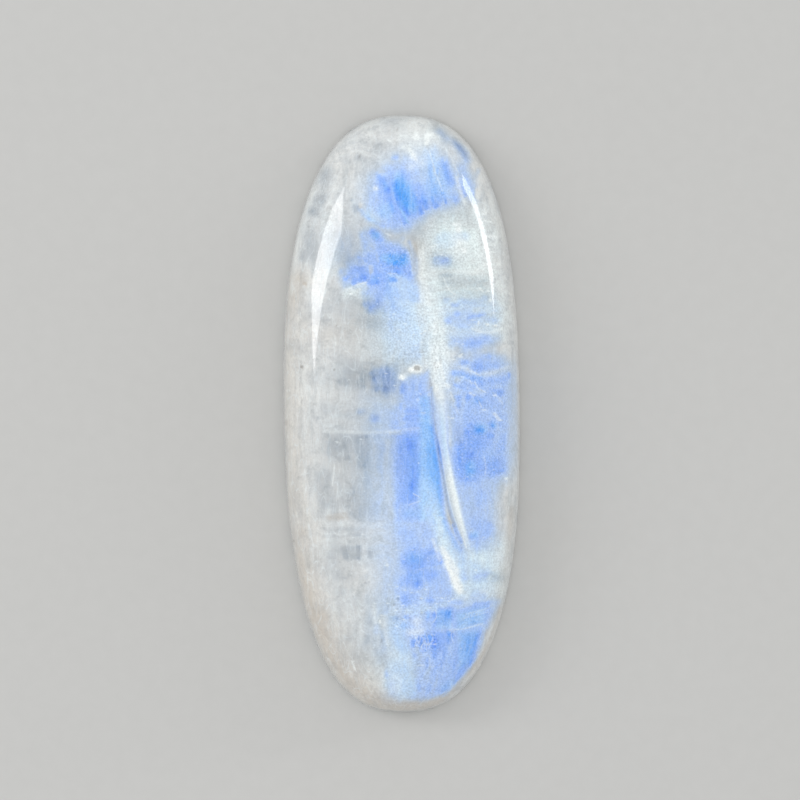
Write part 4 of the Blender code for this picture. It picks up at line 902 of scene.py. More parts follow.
# Cracks as thin as a hair.
HAIRLINES = (
    (0.85, 0.09, (-0.99, 20.98, 0.07), (-0.86, 20.93, 0.07)),
    (0.34, 0.06, (2.16, 20.17, 0.05), (2.58, 18.54, 0.08), (3.12, 17.09, 0.05)),
    (0.28, 0.06, (2.64, 18.43, 0.05), (3.06, 17.46, 0.05)),
    (0.25, 0.06, (3.35, 20.49, 0.06), (3.84, 19.65, 0.07), (4.32, 18.57, 0.06)),
    (0.86, 1.8, (4.25, 18.2, 0.1), (4.68, 16.75, 0.1), (4.86, 16.15, 0.05)),
    (0.27, 0.1, (2.11, 12.72, 0.1), (2.84, 12.99, 0.1)),
    (0.25, 0.06, (2.5, 12.11, 0.06), (2.92, 12.23, 0.07), (3.64, 12.05, 0.05)),
    (0.9, 0.07, (6.45, 14.82, 0.07), (6.83, 14.76, 0.07)),
    (0.62, 0.08, (6.6, 12.42, 0.1), (7.13, 12.42, 0.1)),
    (0.28, 0.1, (6.27, 11.45, 0.1), (7.04, 11.45, 0.1)),
    (0.5, 0.07, (7.05, 10.49, 0.1), (7.34, 10.49, 0.1)),
    (0.5, 0.04, (-3.6, 9.84, 0.04), (-2.73, 10.06, 0.05)),
    (0.56, 0.05, (-3.95, 9.19, 0.06), (-3.83, 9.19, 0.06)),
    (0.33, 0.06, (-4.32, 9.5, 0.06), (-3.82, 9.59, 0.06)),
    (0.3, 0.07, (-0.94, 10.73, 0.07), (-0.45, 10.73, 0.07)),
    (0.3, 0.06, (-1.17, 13.8, 0.07), (-0.87, 13.68, 0.07)),
    (0.33, 0.05, (1.62, 12.9, 0.05), (1.69, 11.93, 0.06)),
    (0.56, 0.1, (2.92, 1.22, 0.09), (3.05, 1.22, 0.09)),
    (0.8, 0.08, (3.29, -1.16, 0.09), (3.35, -1.16, 0.09)),
    (0.5, 0.07, (3.47, -0.27, 0.07), (3.55, -0.27, 0.07)),
    (0.44, 0.07, (3.85, -0.35, 0.06), (3.95, -0.35, 0.06)),
    (0.29, 0.08, (3.77, 1.6, 0.06), (3.98, 0.99, 0.08)),
    (0.62, 0.08, (3.59, -6.05, 0.05), (3.89, -6.89, 0.06), (4.28, -8.21, 0.06),
        (4.67, -9.28, 0.06), (4.94, -10.21, 0.05)),
    (0.37, 0.07, (-5.13, -3.96, 0.05), (-5.21, -4.73, 0.06), (-5.29, -5.42, 0.07)),
    (0.54, 0.07, (-3.12, -1.95, 0.08), (-3.1, -1.95, 0.08)),
    (0.39, 0.1, (-4.97, -2.18, 0.08), (-4.91, -2.18, 0.08)),
    (0.44, 0.06, (0.96, -6.15, 0.04), (1.31, -6.35, 0.05)),
    (0.28, 0.07, (0.57, -6.96, 0.04), (1.42, -6.7, 0.04)),
    (0.37, 0.1, (-5.73, 15.98, 0.05), (-5.47, 16.32, 0.07)),
    (0.72, 0.09, (-1.65, -15.96, 0.08), (-1.65, -15.9, 0.08)),
    (0.33, 0.08, (-2.48, -12.72, 0.08), (-2.48, -12.56, 0.08)),
    (0.39, 0.07, (-1.1, -11.62, 0.07)),
    (0.24, 0.09, (-5.45, -12.62, 0.08), (-5.45, -12.47, 0.08)),
    (0.65, 0.49, (2.4, -9.65, 0.07), (2.94, -11.22, 0.1)),
    (0.62, 0.09, (4.43, 4.43, 0.07), (4.61, 4.53, 0.07)),
    (0.55, 0.07, (4.48, 4.32, 0.06), (4.51, 4.32, 0.06)),
    (0.52, 0.07, (3.96, 4.17, 0.07), (4.01, 4.17, 0.07)),
    (0.28, 0.07, (4.69, 5.33, 0.07), (4.71, 5.33, 0.07)),
    (0.25, 0.07, (4.05, 5.03, 0.06), (4.11, 5.03, 0.06)),
    (0.26, 0.11, (4.41, 3.61, 0.06), (4.95, 3.45, 0.08), (5.33, 3.22, 0.06)),
    (0.47, 0.09, (5.37, 3.3, 0.04), (5.68, 3.11, 0.05), (5.99, 2.93, 0.05)),
    (0.39, 0.07, (4.97, 3.47, 0.07), (5.05, 3.47, 0.07)),
    (0.41, 0.06, (5.6, 2.45, 0.03), (5.83, 1.99, 0.04), (6.06, 1.84, 0.04), (6.45, 1.64, 0.03)),
    (0.45, 0.07, (5.25, 2.56, 0.03), (5.36, 2.3, 0.04)),
    (0.28, 0.08, (4.62, 2.81, 0.08), (4.71, 2.81, 0.08)),
    (0.38, 0.09, (5.52, 1.43, 0.08), (5.58, 1.43, 0.08)),
    (0.49, 0.14, (7.12, 1.41, 0.09), (7.24, 1.41, 0.09)),
    (0.47, 0.06, (5.96, 0.89, 0.03), (6.12, 0.56, 0.04)),
    (0.42, 0.07, (6.22, 0.31, 0.04), (6.43, 0.28, 0.05)),
    (0.82, 0.69, (7.14, -0.01, 0.04), (7.5, -0.47, 0.08)),
    (0.61, 0.08, (7.57, -0.5, 0.08), (7.63, -0.5, 0.08)),
    (0.24, 0.1, (7.35, 1.33, 0.06), (7.74, 0.79, 0.08)),
    (0.25, 0.11, (1.59, 0.06, 0.08), (1.75, 0.06, 0.08)),
    (0.33, 0.07, (1.41, 1.54, 0.06), (1.45, 1.51, 0.06)),
    (0.28, 0.07, (1.26, 1.06, 0.08)),
    (0.28, 0.07, (2.1, 1.46, 0.08)),
    (0.25, 0.08, (6.36, -3.4, 0.03), (6.49, -4.17, 0.05), (6.41, -4.64, 0.03)),
    (0.63, 0.14, (8.01, -4.99, 0.08), (8.1, -4.99, 0.08)),
    (0.42, 0.16, (5.42, 6.53, 0.06), (6.04, 6.28, 0.08), (6.81, 6.22, 0.08), (7.74, 6.53, 0.06)),
    (0.71, 0.08, (5.9, 6.93, 0.09), (5.9, 6.99, 0.09)),
    (0.33, 0.08, (5.38, 7.19, 0.05), (5.51, 7.19, 0.05)),
    (0.61, 0.11, (6.54, 6.86, 0.09), (6.63, 6.86, 0.09)),
    (0.84, 0.1, (7.23, 6.77, 0.08), (7.26, 6.77, 0.08)),
    (0.49, 0.09, (3.25, 10.3, 0.04), (3.44, 9.83, 0.04), (3.67, 9.45, 0.03), (4.05, 9.17, 0.05)),
    (0.52, 0.09, (6.03, 9.61, 0.08), (6.26, 9.38, 0.05)),
    (0.69, 0.08, (6.63, 9.41, 0.08), (6.66, 9.41, 0.08)),
    (0.39, 0.05, (-3.13, -1.95, 0.05), (-3.06, -1.95, 0.05)),
    (0.33, 0.05, (-5.02, -2.13, 0.05), (-4.97, -2.13, 0.05)),
    (0.44, 0.06, (-0.55, 2.14, 0.05), (-0.52, 2.14, 0.05)),
    (0.37, 0.05, (-1.18, 3.07, 0.05), (-1.16, 3.07, 0.05)),
    (0.28, 0.04, (1.03, -6.17, 0.04), (1.3, -6.35, 0.04)),
    (0.24, 0.05, (1.63, 0.09, 0.05), (1.68, 0.09, 0.05)),
    (0.32, 0.38, (-5.94, -1.34, 0.06), (-2.57, -1.46, 0.07), (-0.88, -1.36, 0.06),
        (1.29, -1.1, 0.06)),
    (0.28, 0.1, (-8.73, 1.78, 0.1), (-8.68, 1.78, 0.1)),
    (0.45, 0.05, (-3.81, -19.02, 0.06), (-3.74, -19.02, 0.06)),
    (0.56, 0.11, (-3.78, -19.06, 0.05), (-3.56, -19.66, 0.05)),
    (0.34, 0.06, (3.66, -16.57, 0.06), (4.69, -16.55, 0.06), (6.13, -16.16, 0.07)),
    (0.28, 0.06, (4.83, -15.7, 0.05), (6.58, -15.27, 0.06)),
    (0.25, 0.05, (4.98, -15.38, 0.05), (6.66, -14.94, 0.05)),
    (0.3, 0.04, (2.63, -15.14, 0.05), (2.69, -15.63, 0.04), (2.45, -15.99, 0.04)),
    (0.28, 0.04, (3.86, -16.61, 0.05), (3.8, -17.09, 0.05), (3.92, -17.46, 0.05)),
    (0.34, 0.04, (1.01, -17.06, 0.03), (1.24, -17.42, 0.04), (1.37, -17.78, 0.02)),
    (0.34, 0.04, (1.31, -17.76, 0.03), (1.42, -17.4, 0.04), (1.43, -17.04, 0.02)),
    (0.34, 0.04, (1.24, -17.06, 0.03), (1.17, -17.42, 0.04), (1, -17.78, 0.02)),
    (0.34, 0.04, (1.55, -17.07, 0.03), (1.75, -17.37, 0.04), (1.86, -17.67, 0.02)),
    (0.34, 0.04, (1.9, -16.94, 0.03), (2.04, -17.31, 0.04), (2.08, -17.67, 0.02)),
    (0.34, 0.04, (1.25, -17.42, 0.03), (1.96, -17.6, 0.04), (2.57, -17.78, 0.02)),
    (0.34, 0.04, (1.65, -18.04, 0.03), (1.96, -17.86, 0.04), (2.19, -17.68, 0.02)),
    (0.34, 0.04, (2.08, -17.82, 0.03), (2.43, -17.7, 0.04), (2.68, -17.58, 0.02)),
    (0.34, 0.04, (2.35, -16.96, 0.03), (2.43, -17.2, 0.04), (2.41, -17.44, 0.02)),
    (0.34, 0.04, (1.79, -17.21, 0.03), (1.9, -17.69, 0.04), (1.91, -18.17, 0.02)),
    (0.34, 0.04, (0.92, -17.9, 0.03), (1.18, -17.81, 0.04), (1.35, -17.72, 0.02)),
    (0.34, 0.04, (1.5, -17.91, 0.03), (1.58, -18.12, 0.04), (1.56, -18.33, 0.02)),
    (0.33, 0.05, (1.31, -19.32, 0.06), (1.72, -19.32, 0.06)),
    (0.25, 0.06, (2.2, -19.43, 0.06), (2.42, -19.43, 0.06)),
    (0.3, 0.05, (-0.33, -13.22, 0.06), (-0.31, -13.22, 0.06)),
    (0.3, 0.05, (0.25, -13.51, 0.06), (0.28, -13.51, 0.06)),
    (0.3, 0.05, (1.2, -13.66, 0.06), (1.23, -13.66, 0.06)),
    (0.52, 0.05, (1.52, -14.15, 0.06), (1.54, -14.15, 0.06)),
    (0.43, 0.05, (0.13, -14.68, 0.06), (0.15, -14.68, 0.06)),
    (0.3, 0.05, (-0.23, -14.01, 0.06), (-0.21, -14.01, 0.06)),
    (0.34, 0.05, (0.76, -13.72, 0.06), (0.79, -13.72, 0.06)),
    (0.38, 0.05, (1.83, -13.46, 0.06), (1.85, -13.46, 0.06)),
    (0.3, 0.05, (-0.94, -13.12, 0.06), (-0.91, -13.12, 0.06)),
    (0.33, 0.05, (-0.46, -15.05, 0.06), (-0.44, -15.05, 0.06)),
    (0.3, 0.05, (1.06, -14.67, 0.06), (1.08, -14.67, 0.06)),
    (0.48, 0.05, (-1.08, -14.54, 0.06), (-1.06, -14.54, 0.06)),
    (0.3, 0.05, (2.21, -14.88, 0.06), (2.23, -14.88, 0.06)),
    (0.3, 0.05, (2.68, -14.56, 0.06), (2.7, -14.56, 0.06)),
    (0.42, 0.05, (3.08, -14.14, 0.06), (3.1, -14.14, 0.06)),
    (0.45, 0.05, (3.61, -14.38, 0.06), (3.63, -14.38, 0.06)),
    (0.51, 0.05, (3.91, -14.21, 0.06), (3.94, -14.21, 0.06)),
    (0.36, 0.05, (0.61, -15.52, 0.06), (0.63, -15.52, 0.06)),
    (0.49, 0.05, (0.15, -15.77, 0.06), (0.17, -15.77, 0.06)),
    (0.33, 0.05, (-0.4, -16.3, 0.06), (-0.37, -16.3, 0.06)),
    (0.33, 0.05, (1.53, -15.26, 0.06), (1.55, -15.26, 0.06)),
    (0.58, 0.05, (-1.54, -15.45, 0.06), (-1.51, -15.45, 0.06)),
    (0.33, 0.05, (-2.02, -14.55, 0.06), (-2, -14.55, 0.06)),
    (0.3, 0.05, (-1.23, -11.64, 0.06), (-1.2, -11.64, 0.06)),
    (0.3, 0.05, (-2.4, -10.43, 0.06), (-2.37, -10.43, 0.06)),
    (0.33, 0.05, (-3, -9.25, 0.06), (-2.98, -9.25, 0.06)),
    (0.3, 0.05, (0.16, -11.14, 0.06), (0.18, -11.14, 0.06)),
    (0.3, 0.05, (0.85, -10.43, 0.06), (0.87, -10.43, 0.06)),
    (0.3, 0.05, (-0.4, -10.45, 0.06), (-0.38, -10.45, 0.06)),
    (0.3, 0.05, (6.83, -9.6, 0.06), (6.86, -9.6, 0.06)),
    (0.33, 0.05, (6.31, -9.5, 0.06), (6.34, -9.5, 0.06)),
    (0.44, 0.05, (5.68, -12.01, 0.06), (5.7, -12.01, 0.06)),
    (0.35, 0.05, (7.01, -12.01, 0.06), (7.03, -12.01, 0.06)),
    (0.28, 0.05, (-0.95, 7.25, 0.07), (-0.9, 7.25, 0.07)),
    (0.28, 0.05, (-0.24, 6.42, 0.07), (-0.19, 6.42, 0.07)),
    (0.38, 0.05, (0.93, 6.07, 0.07), (0.98, 6.07, 0.07)),
    (0.46, 0.05, (1.48, 6.14, 0.07), (1.53, 6.14, 0.07)),
    (0.28, 0.05, (0.24, 6.89, 0.07), (0.29, 6.89, 0.07)),
    (0.29, 0.05, (1.52, 5.47, 0.07), (1.57, 5.47, 0.07)),
    (0.28, 0.05, (1.09, 5.22, 0.07), (1.14, 5.22, 0.07)),
    (0.3, 0.05, (-0.21, 5.57, 0.07), (-0.16, 5.57, 0.07)),
    (0.32, 0.05, (2.18, 7.25, 0.07), (2.22, 7.25, 0.07)),
    (0.28, 0.05, (-0.6, 7.63, 0.07), (-0.55, 7.63, 0.07)),
    (0.37, 0.05, (2.65, 7.63, 0.07), (2.7, 7.63, 0.07)),
    (0.51, 0.05, (2.52, 6.92, 0.07), (2.57, 6.92, 0.07)),
    (0.28, 0.05, (5.17, 6.79, 0.07), (5.22, 6.79, 0.07)),
    (0.38, 0.05, (5.89, 6.98, 0.07), (5.94, 6.98, 0.07)),
    (0.28, 0.05, (3.98, 6.61, 0.07), (4.03, 6.61, 0.07)),
    (0.3, 0.05, (1.32, 6.78, 0.07), (1.37, 6.78, 0.07)),
    (0.62, 0.05, (1.79, 6.32, 0.07), (1.84, 6.32, 0.07)),
    (0.41, 0.05, (3.18, 6.53, 0.07), (3.22, 6.53, 0.07)),
    (0.36, 0.05, (4.21, 5.4, 0.07), (4.26, 5.4, 0.07)),
    (0.28, 0.09, (-5.05, 5.27, 0.06), (-5.05, 5.77, 0.06)),
    (0.55, 0.09, (6.13, 13.77, 0.07), (6.41, 12.85, 0.08), (6.59, 12.15, 0.05)),
)
# The mesh holds how strong each of these is at each of its points, under this name.
MARKINGS = {
    "see_through_shade": SEE_THROUGH_SHADE,
    "aqua_sheen": AQUA_SHEEN_MARKINGS,
    "blue": BLUE_SHEEN_MARKINGS,
    "azure": AZURE_LEAN_MARKINGS,
    "cream_and_rim_glow": CREAM_STAIN_AND_RIM_GLOW,
    "veil_and_rim_highlight": VEIL_AND_RIM_HIGHLIGHT,
    "dark": DARK,
    "slant": SLANT,
    "across": ACROSS,
    "crazed": CRAZED,
}

# The open fracture's wall, seen nearly edge on: (x, y, half width) down its middle.
FRACTURE = (
    (2.99, 1.36, 0.48), (3.07, 0.28, 0.47), (3.12, -0.49, 0.46), (3.20, -1.26, 0.44),
    (3.27, -2.19, 0.35), (3.44, -3.19, 0.34), (3.62, -4.35, 0.33), (3.81, -5.51, 0.34),
    (4.08, -6.66, 0.37), (4.35, -7.82, 0.32), (4.70, -8.98, 0.27), (5.05, -10.13, 0.25),
    (5.26, -11.14, 0.17),
)

FADE_FROM, FADE_TO = 1.3, 0.1  # heights between which the markings fade out down the wall
# Cleavage leaves the markings' edges ragged: (wander in mm, ripples per mm).
RAGGED = ((0.03, 0.5), (0.03, 1.8), (0.04, 5.0))
RAGGED_SLICE = 9  # the height in the noise that the wander is read at
FRACTURE_REACH = 3.0  # how far out from the fracture places are measured
HAIR_REACH = 0.35  # and how far out from a hairline
HAIR_FADE = (0.2, 0.08)  # distances from a hairline where it is gone and where it is whole
FAR_ACROSS = 9.0  # half widths


def ramp(low, high, value):
    """A smooth step from 0 at low to 1 at high."""
    share = np.clip((value - low) / (high - low), 0, 1)
    return share * share * (3 - 2 * share)


def segment(xy, start, end):
    """Distance from each place to a straight line, and how far along it the nearest point is."""
    run = end - start
    share = np.clip((xy - start) @ run / max(run @ run, 1e-9), 0, 1)
    return np.linalg.norm(xy - start - share[:, None] * run, axis=1), share


def as_drawn(points):
    """A marking's points as an array, where a spot's one point is both ends of a line."""
    return np.array(points * 2 if len(points) == 1 else points)


def line_cover(xy, points, soft):
    """How fully a line with a width covers each place."""
    cover = np.zeros(len(xy))
    for start, end in zip(points[:-1], points[1:]):
        distance, share = segment(xy, start[:2], end[:2])
        half = start[2] + (end[2] - start[2]) * share
        cover = np.maximum(cover, ramp(soft, -soft, distance - half))
    return cover


def outline_cover(xy, points, soft):
    """How fully a closed outline covers each place."""
    inside = np.zeros(len(xy), bool)
    nearest = np.full(len(xy), np.inf)
    for start, end in zip(points, np.roll(points, -1, axis=0)):
        nearest = np.minimum(nearest, segment(xy, start, end)[0])
        crosses = (start[1] > xy[:, 1]) != (end[1] > xy[:, 1])
        rise = end[1] - start[1]
        at = start[0] + (xy[:, 1] - start[1]) / (rise if rise else 1) * (end[0] - start[0])
        inside ^= crosses & (xy[:, 0] < at)
    return ramp(-soft, soft, np.where(inside, nearest, -nearest))


def painted(xy, markings):
    """How strongly each place shows these markings, each laid over those before it."""
    value = np.zeros(len(xy))
    for strength, soft, *points in markings:
        points = as_drawn(points)
        is_line = points.shape[1] == 3
        reach = soft + (points[:, 2].max() if is_line else 0)
        low = points[:, :2].min(axis=0) - reach
        high = points[:, :2].max(axis=0) + reach
        near = np.flatnonzero(((xy > low) & (xy < high)).all(axis=1))
        cover = (line_cover if is_line else outline_cover)(xy[near], points, soft)
        value[near] += (strength - value[near]) * cover
    return value


def beside(xy, lines, reach):
    """Of the nearest line: how far across it each place is, how far down it, and which it is.

    Across is in half widths, and less than 0 on its left. The distance to the line comes last.
    """
    nearest = np.full(len(xy), np.inf)
    across, down = np.full(len(xy), FAR_ACROSS), np.zeros(len(xy))
    which = np.zeros(len(xy), int)
    for line_number, line in enumerate(lines):
        for number, (start, end) in enumerate(zip(line[:-1], line[1:])):
            low, high = np.minimum(start, end)[:2] - reach, np.maximum(start, end)[:2] + reach
            near = np.flatnonzero(((xy > low) & (xy < high)).all(axis=1))
            distance, share = segment(xy[near], start[:2], end[:2])
            closer = distance < nearest[near]
            near, distance, share = near[closer], distance[closer], share[closer]
            run, away = end[:2] - start[:2], xy[near] - start[:2]
            side = np.sign(run[0] * away[:, 1] - run[1] * away[:, 0])
            nearest[near] = distance
            across[near] = side * distance / (start[2] + (end[2] - start[2]) * share)
            down[near] = (number + share) / (len(line) - 1)
            which[near] = line_number
    return across, down, which, nearest


def keep_on_mesh(name, values):
    """Stores one number for each of the mesh's points, for the material to read."""
    attribute = stone_mesh.attributes.new(name, "FLOAT", "POINT")
    attribute.data.foreach_set("value", values.astype(np.float32))


places = np.empty(len(stone_mesh.vertices) * 3, np.float32)
stone_mesh.vertices.foreach_get("co", places)
places = places.reshape(-1, 3).astype(float) / MM
plain = places[:, :2]
depth_share = ramp(FADE_TO, FADE_FROM, places[:, 2])
ragged = plain.copy()
for wander, ripples in RAGGED:
    ragged += wander * np.array(
        [noise.noise_vector(Vector((x, y, RAGGED_SLICE)) * ripples).xy for x, y, _ in places]
    )
for name, markings in MARKINGS.items():
    keep_on_mesh(name, painted(ragged, markings) * depth_share)
# The fracture, as how far across its half width each place lies, and how far down it.
across, down, _, _ = beside(plain, [np.array(FRACTURE)], FRACTURE_REACH)
keep_on_mesh("fracture_across", across.clip(-FAR_ACROSS, FAR_ACROSS))
keep_on_mesh("fracture_down", down)
# A crack thinner than the mesh's spacing stays sharp when each place holds how far across it lies.
widened = [as_drawn(points) + (0, 0, soft) for _, soft, *points in HAIRLINES]
across, _, which, distance = beside(plain, widened, HAIR_REACH)
keep_on_mesh("hair_across", across.clip(-FAR_ACROSS, FAR_ACROSS))
tops = [
    shown * ramp(0, 1, (points[0][2] + soft) / (2 * soft)) for shown, soft, *points in HAIRLINES
]
keep_on_mesh("hair_strength", np.array(tops)[which] * ramp(*HAIR_FADE, distance) * depth_share)

# Its material. Polished moonstone: milky feldspar with a glassy skin. What the eye sees is the
# white body, streaked by cleavage, and the blue glow that the parted layers throw back, painted
# into the colour as a sheen.
moonstone = bpy.data.materials.new("polished rainbow moonstone")
moonstone.use_nodes = True
tree = moonstone.node_tree


def linear(code):
    """A linear colour from an sRGB hex code."""
    parts = [int(code[i : i + 2], 16) / 255 for i in (1, 3, 5)]
    return [c / 12.92 if c <= 0.04045 else ((c + 0.055) / 1.055) ** 2.4 for c in parts] + [1.0]


def add(kind, settings=None, inputs=None, out=0):
    """Adds a node with its settings, sets or links its inputs, and returns one of its outputs."""
    node = tree.nodes.new(kind)
    for key, value in (settings or {}).items():
        setattr(node, key, value)
    for key, value in (inputs or {}).items():
        if isinstance(value, bpy.types.NodeSocket):
            tree.links.new(value, node.inputs[key])
        else:
            node.inputs[key].default_value = value
    return node.outputs[out]


COLOURS = {"data_type": "RGBA"}
TIMES = {"operation": "MULTIPLY"}
TIMES_PLUS = {"operation": "MULTIPLY_ADD"}
LARGER = {"operation": "MAXIMUM"}
SMOOTH = {"interpolation_type": "SMOOTHSTEP"}
WHITE_CRACK = linear("#f8ffff")

place = add("ShaderNodeTexCoord", out="Object")
place = add("ShaderNodeVectorMath", {"operation": "SCALE"}, {0: place, "Scale": 1 / MM})
mask = {
    name: add("ShaderNodeAttribute", {"attribute_name": name}, out="Fac")
    for name in (*MARKINGS, "fracture_across", "fracture_down", "hair_across", "hair_strength")
}

# The stone's own patterns, with every scale per millimetre. Cleavage runs along the stone, and
# the wisps in it are a few tenths of a millimetre wide. In some patches they run across the
# stone, and in one they slant.
drift = {"Vector": place, "Scale": 0.45, "Detail": 1.0}
drift = add("ShaderNodeTexNoise", {}, drift, out="Color")
drift = add("ShaderNodeVectorMath", {"operation": "SUBTRACT"}, {0: drift, 1: (0.5, 0.5, 0.5)})
drifted = add("ShaderNodeVectorMath", TIMES_PLUS, {0: drift, 1: (1.3, 1.3, 1.3), 2: place})
wisps = 0.0
for where, start, turn, stretch, detail, roughness in (
    (1.0, drifted, 0.05, (1.7, 0.28, 1.0), 4.0, 0.58),
    (mask["across"], drifted, 0.04, (0.3, 2.1, 1.0), 4.0, 0.58),
    (mask["slant"], place, -0.3, (2.6, 0.3, 1.0), 5.0, 0.6),
):
    streaks = {"Vector": start, "Rotation": (0, 0, turn), "Scale": stretch}
    streaks = {"Vector": add("ShaderNodeMapping", {}, streaks), "Scale": 1.0}
    streaks |= {"Detail": detail, "Roughness": roughness}
    streaks = add("ShaderNodeTexNoise", {}, streaks)
    wisps = add("ShaderNodeMix", {}, {0: where, 2: wisps, 3: streaks})
mottle = {"Vector": place, "Scale": 0.45, "Detail": 5.0, "Roughness": 0.6}
mottle = add("ShaderNodeTexNoise", {}, mottle)
clouds = {"Vector": drifted, "Scale": 1.3, "Detail": 4.0, "Roughness": 0.6}
clouds = add("ShaderNodeTexNoise", {}, clouds)
crumbs = {"Vector": place, "Scale": 3.2, "Detail": 4.0, "Roughness": 0.8}
crumbs = add("ShaderNodeTexNoise", {}, crumbs)
grit = add("ShaderNodeTexNoise", {}, {"Vector": place, "Scale": 7.0, "Detail": 1.0})

# Hairline cracks and healed veils, in four sets: how far each is turned off the stone's length,
# how many mm apart and how many mm long its hairs are, and how fine.
hairs = 0.0
for turn, spacing, length, fineness in (
    (0.04, 0.75, 5.0, 0.022),
    (0.45, 0.9, 3.2, 0.018),
    (-0.6, 0.9, 3.0, 0.018),
    (1.5, 0.8, 4.0, 0.018),
):
    one_set = {"Vector": place, "Rotation": (0, 0, turn), "Scale": (1 / spacing, 1 / length, 1.0)}
    one_set = {"Vector": add("ShaderNodeMapping", {}, one_set), "Scale": 1.0, "Detail": 0.0}
    one_set = add("ShaderNodeTexNoise", {}, one_set)
    one_set = add("ShaderNodeMath", {"operation": "SUBTRACT"}, {0: one_set, 1: 0.5})
    one_set = add("ShaderNodeMath", {"operation": "ABSOLUTE"}, {0: one_set})
    one_set = add("ShaderNodeMapRange", {}, {0: one_set, 1: 0.0, 2: fineness, 3: 1.0, 4: 0.0})
    hairs = add("ShaderNodeMath", LARGER, {0: hairs, 1: one_set})
crazing = {"Vector": drifted, "Scale": 1.5}
crazing = add("ShaderNodeTexVoronoi", {"feature": "DISTANCE_TO_EDGE"}, crazing)
crazing = add("ShaderNodeMapRange", {}, {0: crazing, 1: 0.0, 2: 0.07, 3: 1.0, 4: 0.0})


def dots(per_mm, inner, outer, brightest, rare, common):
    """Round crumbs of light, so many per mm, in the cells whose random tone is light enough."""
    size = add("ShaderNodeTexVoronoi", {}, {"Vector": place, "Scale": per_mm})
    here = size.node.outputs["Color"]
    size = add("ShaderNodeMapRange", {}, {0: size, 1: inner, 2: outer, 3: brightest, 4: 0.0})
    here = add("ShaderNodeMapRange", {}, {0: here, 1: rare, 2: common, 3: 0.0, 4: 1.0})
    return add("ShaderNodeMath", TIMES, {0: size, 1: here})


sparks = dots(1.9, 0.06, 0.18, 1.0, 0.45, 0.7)
specks = dots(4.2, 0.15, 0.42, 0.6, 0.5, 0.62)

# The milky body: two tones of milk, then light wisps, dark wisps and dark clouds.
colour = linear("#e3e4e2")
for pattern, start, end, most, tone in (
    (mottle, 0.35, 0.65, 1.0, "#ced3d6"),
    (wisps, 0.48, 0.68, 0.65, "#ebf0ef"),
    (wisps, 0.5, 0.30, 0.5, "#b0b8bc"),
    (clouds, 0.44, 0.26, 0.5, "#abb3b7"),
):
    share = add("ShaderNodeMapRange", {}, {0: pattern, 1: start, 2: end, 3: 0.0, 4: most})
    colour = add("ShaderNodeMix", COLOURS, {0: share, 6: colour, 7: linear(tone)}, out=2)


def broken_up(strength, unevenness):
    """A strength that each of these patterns makes uneven, by up to this share of it."""
    for pattern, share in unevenness:
        uneven = {0: pattern, 1: 0.3, 2: 0.7, 3: 1 - share, 4: 1 + share}
        uneven = add("ShaderNodeMapRange", {}, uneven)
        strength = add("ShaderNodeMath", TIMES, {0: strength, 1: uneven})
    return strength


def layer(under, name, over, unevenness, blend="MIX"):
    """Lays a colour where the stone has this marking, broken up by these patterns."""
    inputs = {0: broken_up(mask[name], unevenness), 6: under, 7: over}
    return add("ShaderNodeMix", {"data_type": "RGBA", "blend_type": blend}, inputs, out=2)


# Cream stains, and the painted warm glow along the rim.
colour = layer(colour, "cream_and_rim_glow", linear("#c2b7a9"), ((wisps, 0.15), (crumbs, 0.1)))
# The aqua sheen, painted into the colour.
colour = layer(colour, "aqua_sheen", linear("#f1ffff"), ((wisps, 0.42), (crumbs, 0.25)))

# The painted sheen pales to lavender and aqua where it is weak, and is a clear blue at its
# strongest.
# Across the fracture come its painted shadow, its lip and its wall with a painted bright
# reflection, and lower down the shadow and the wall are greyer. Each tone is (position, colour),
# and then how much of it shows.
VIOLET_SHEEN = (
    (0.12, "#9bc5f2"), (0.3, "#b2cfff"), (0.5, "#9bbeff"), (0.75, "#88b3ff"), (1.0, "#6597fe"),
)
AZURE_SHEEN = (
    (0.12, "#c5e3ff"), (0.3, "#bddeff"), (0.5, "#a2cdff"), (0.75, "#71b3ff"), (1.0, "#469ffb"),
)
UPPER_WALL_SHADE_AND_SHINE = (
    (0.06, "#a0c0f6", 0.0), (0.125, "#9dbcf2", 0.6), (0.225, "#78a8f6", 0.9),
    (0.265, "#70a0f4", 1.0), (0.325, "#a5c5fc", 1.0), (0.36, "#c1d7fc", 1.0),
    (0.475, "#c1d9fa", 1.0), (0.60, "#cbe4fd", 1.0), (0.70, "#d5e9ff", 1.0),
    (0.77, "#c5daff", 0.85), (0.83, "#adcbfd", 0.4), (0.88, "#a8c7fd", 0.0),
)
LOWER_WALL_SHADE_AND_SHINE = (
    (0.06, "#b4c9e4", 0.0), (0.125, "#b6cdee", 0.7), (0.26, "#b6cff1", 0.9),
    (0.315, "#c3d7f0", 0.95), (0.35, "#d6e4f2", 1.0), (0.40, "#ccd9e3", 1.0),
    (0.475, "#dde7ec", 1.0), (0.56, "#e9f2f5", 1.0), (0.66, "#f3fdff", 1.0),
    (0.73, "#f2fdff", 1.0), (0.79, "#e1f0fe", 0.95), (0.86, "#d1e2fd", 0.7),
    (0.95, "#c0d8fe", 0.0),
)
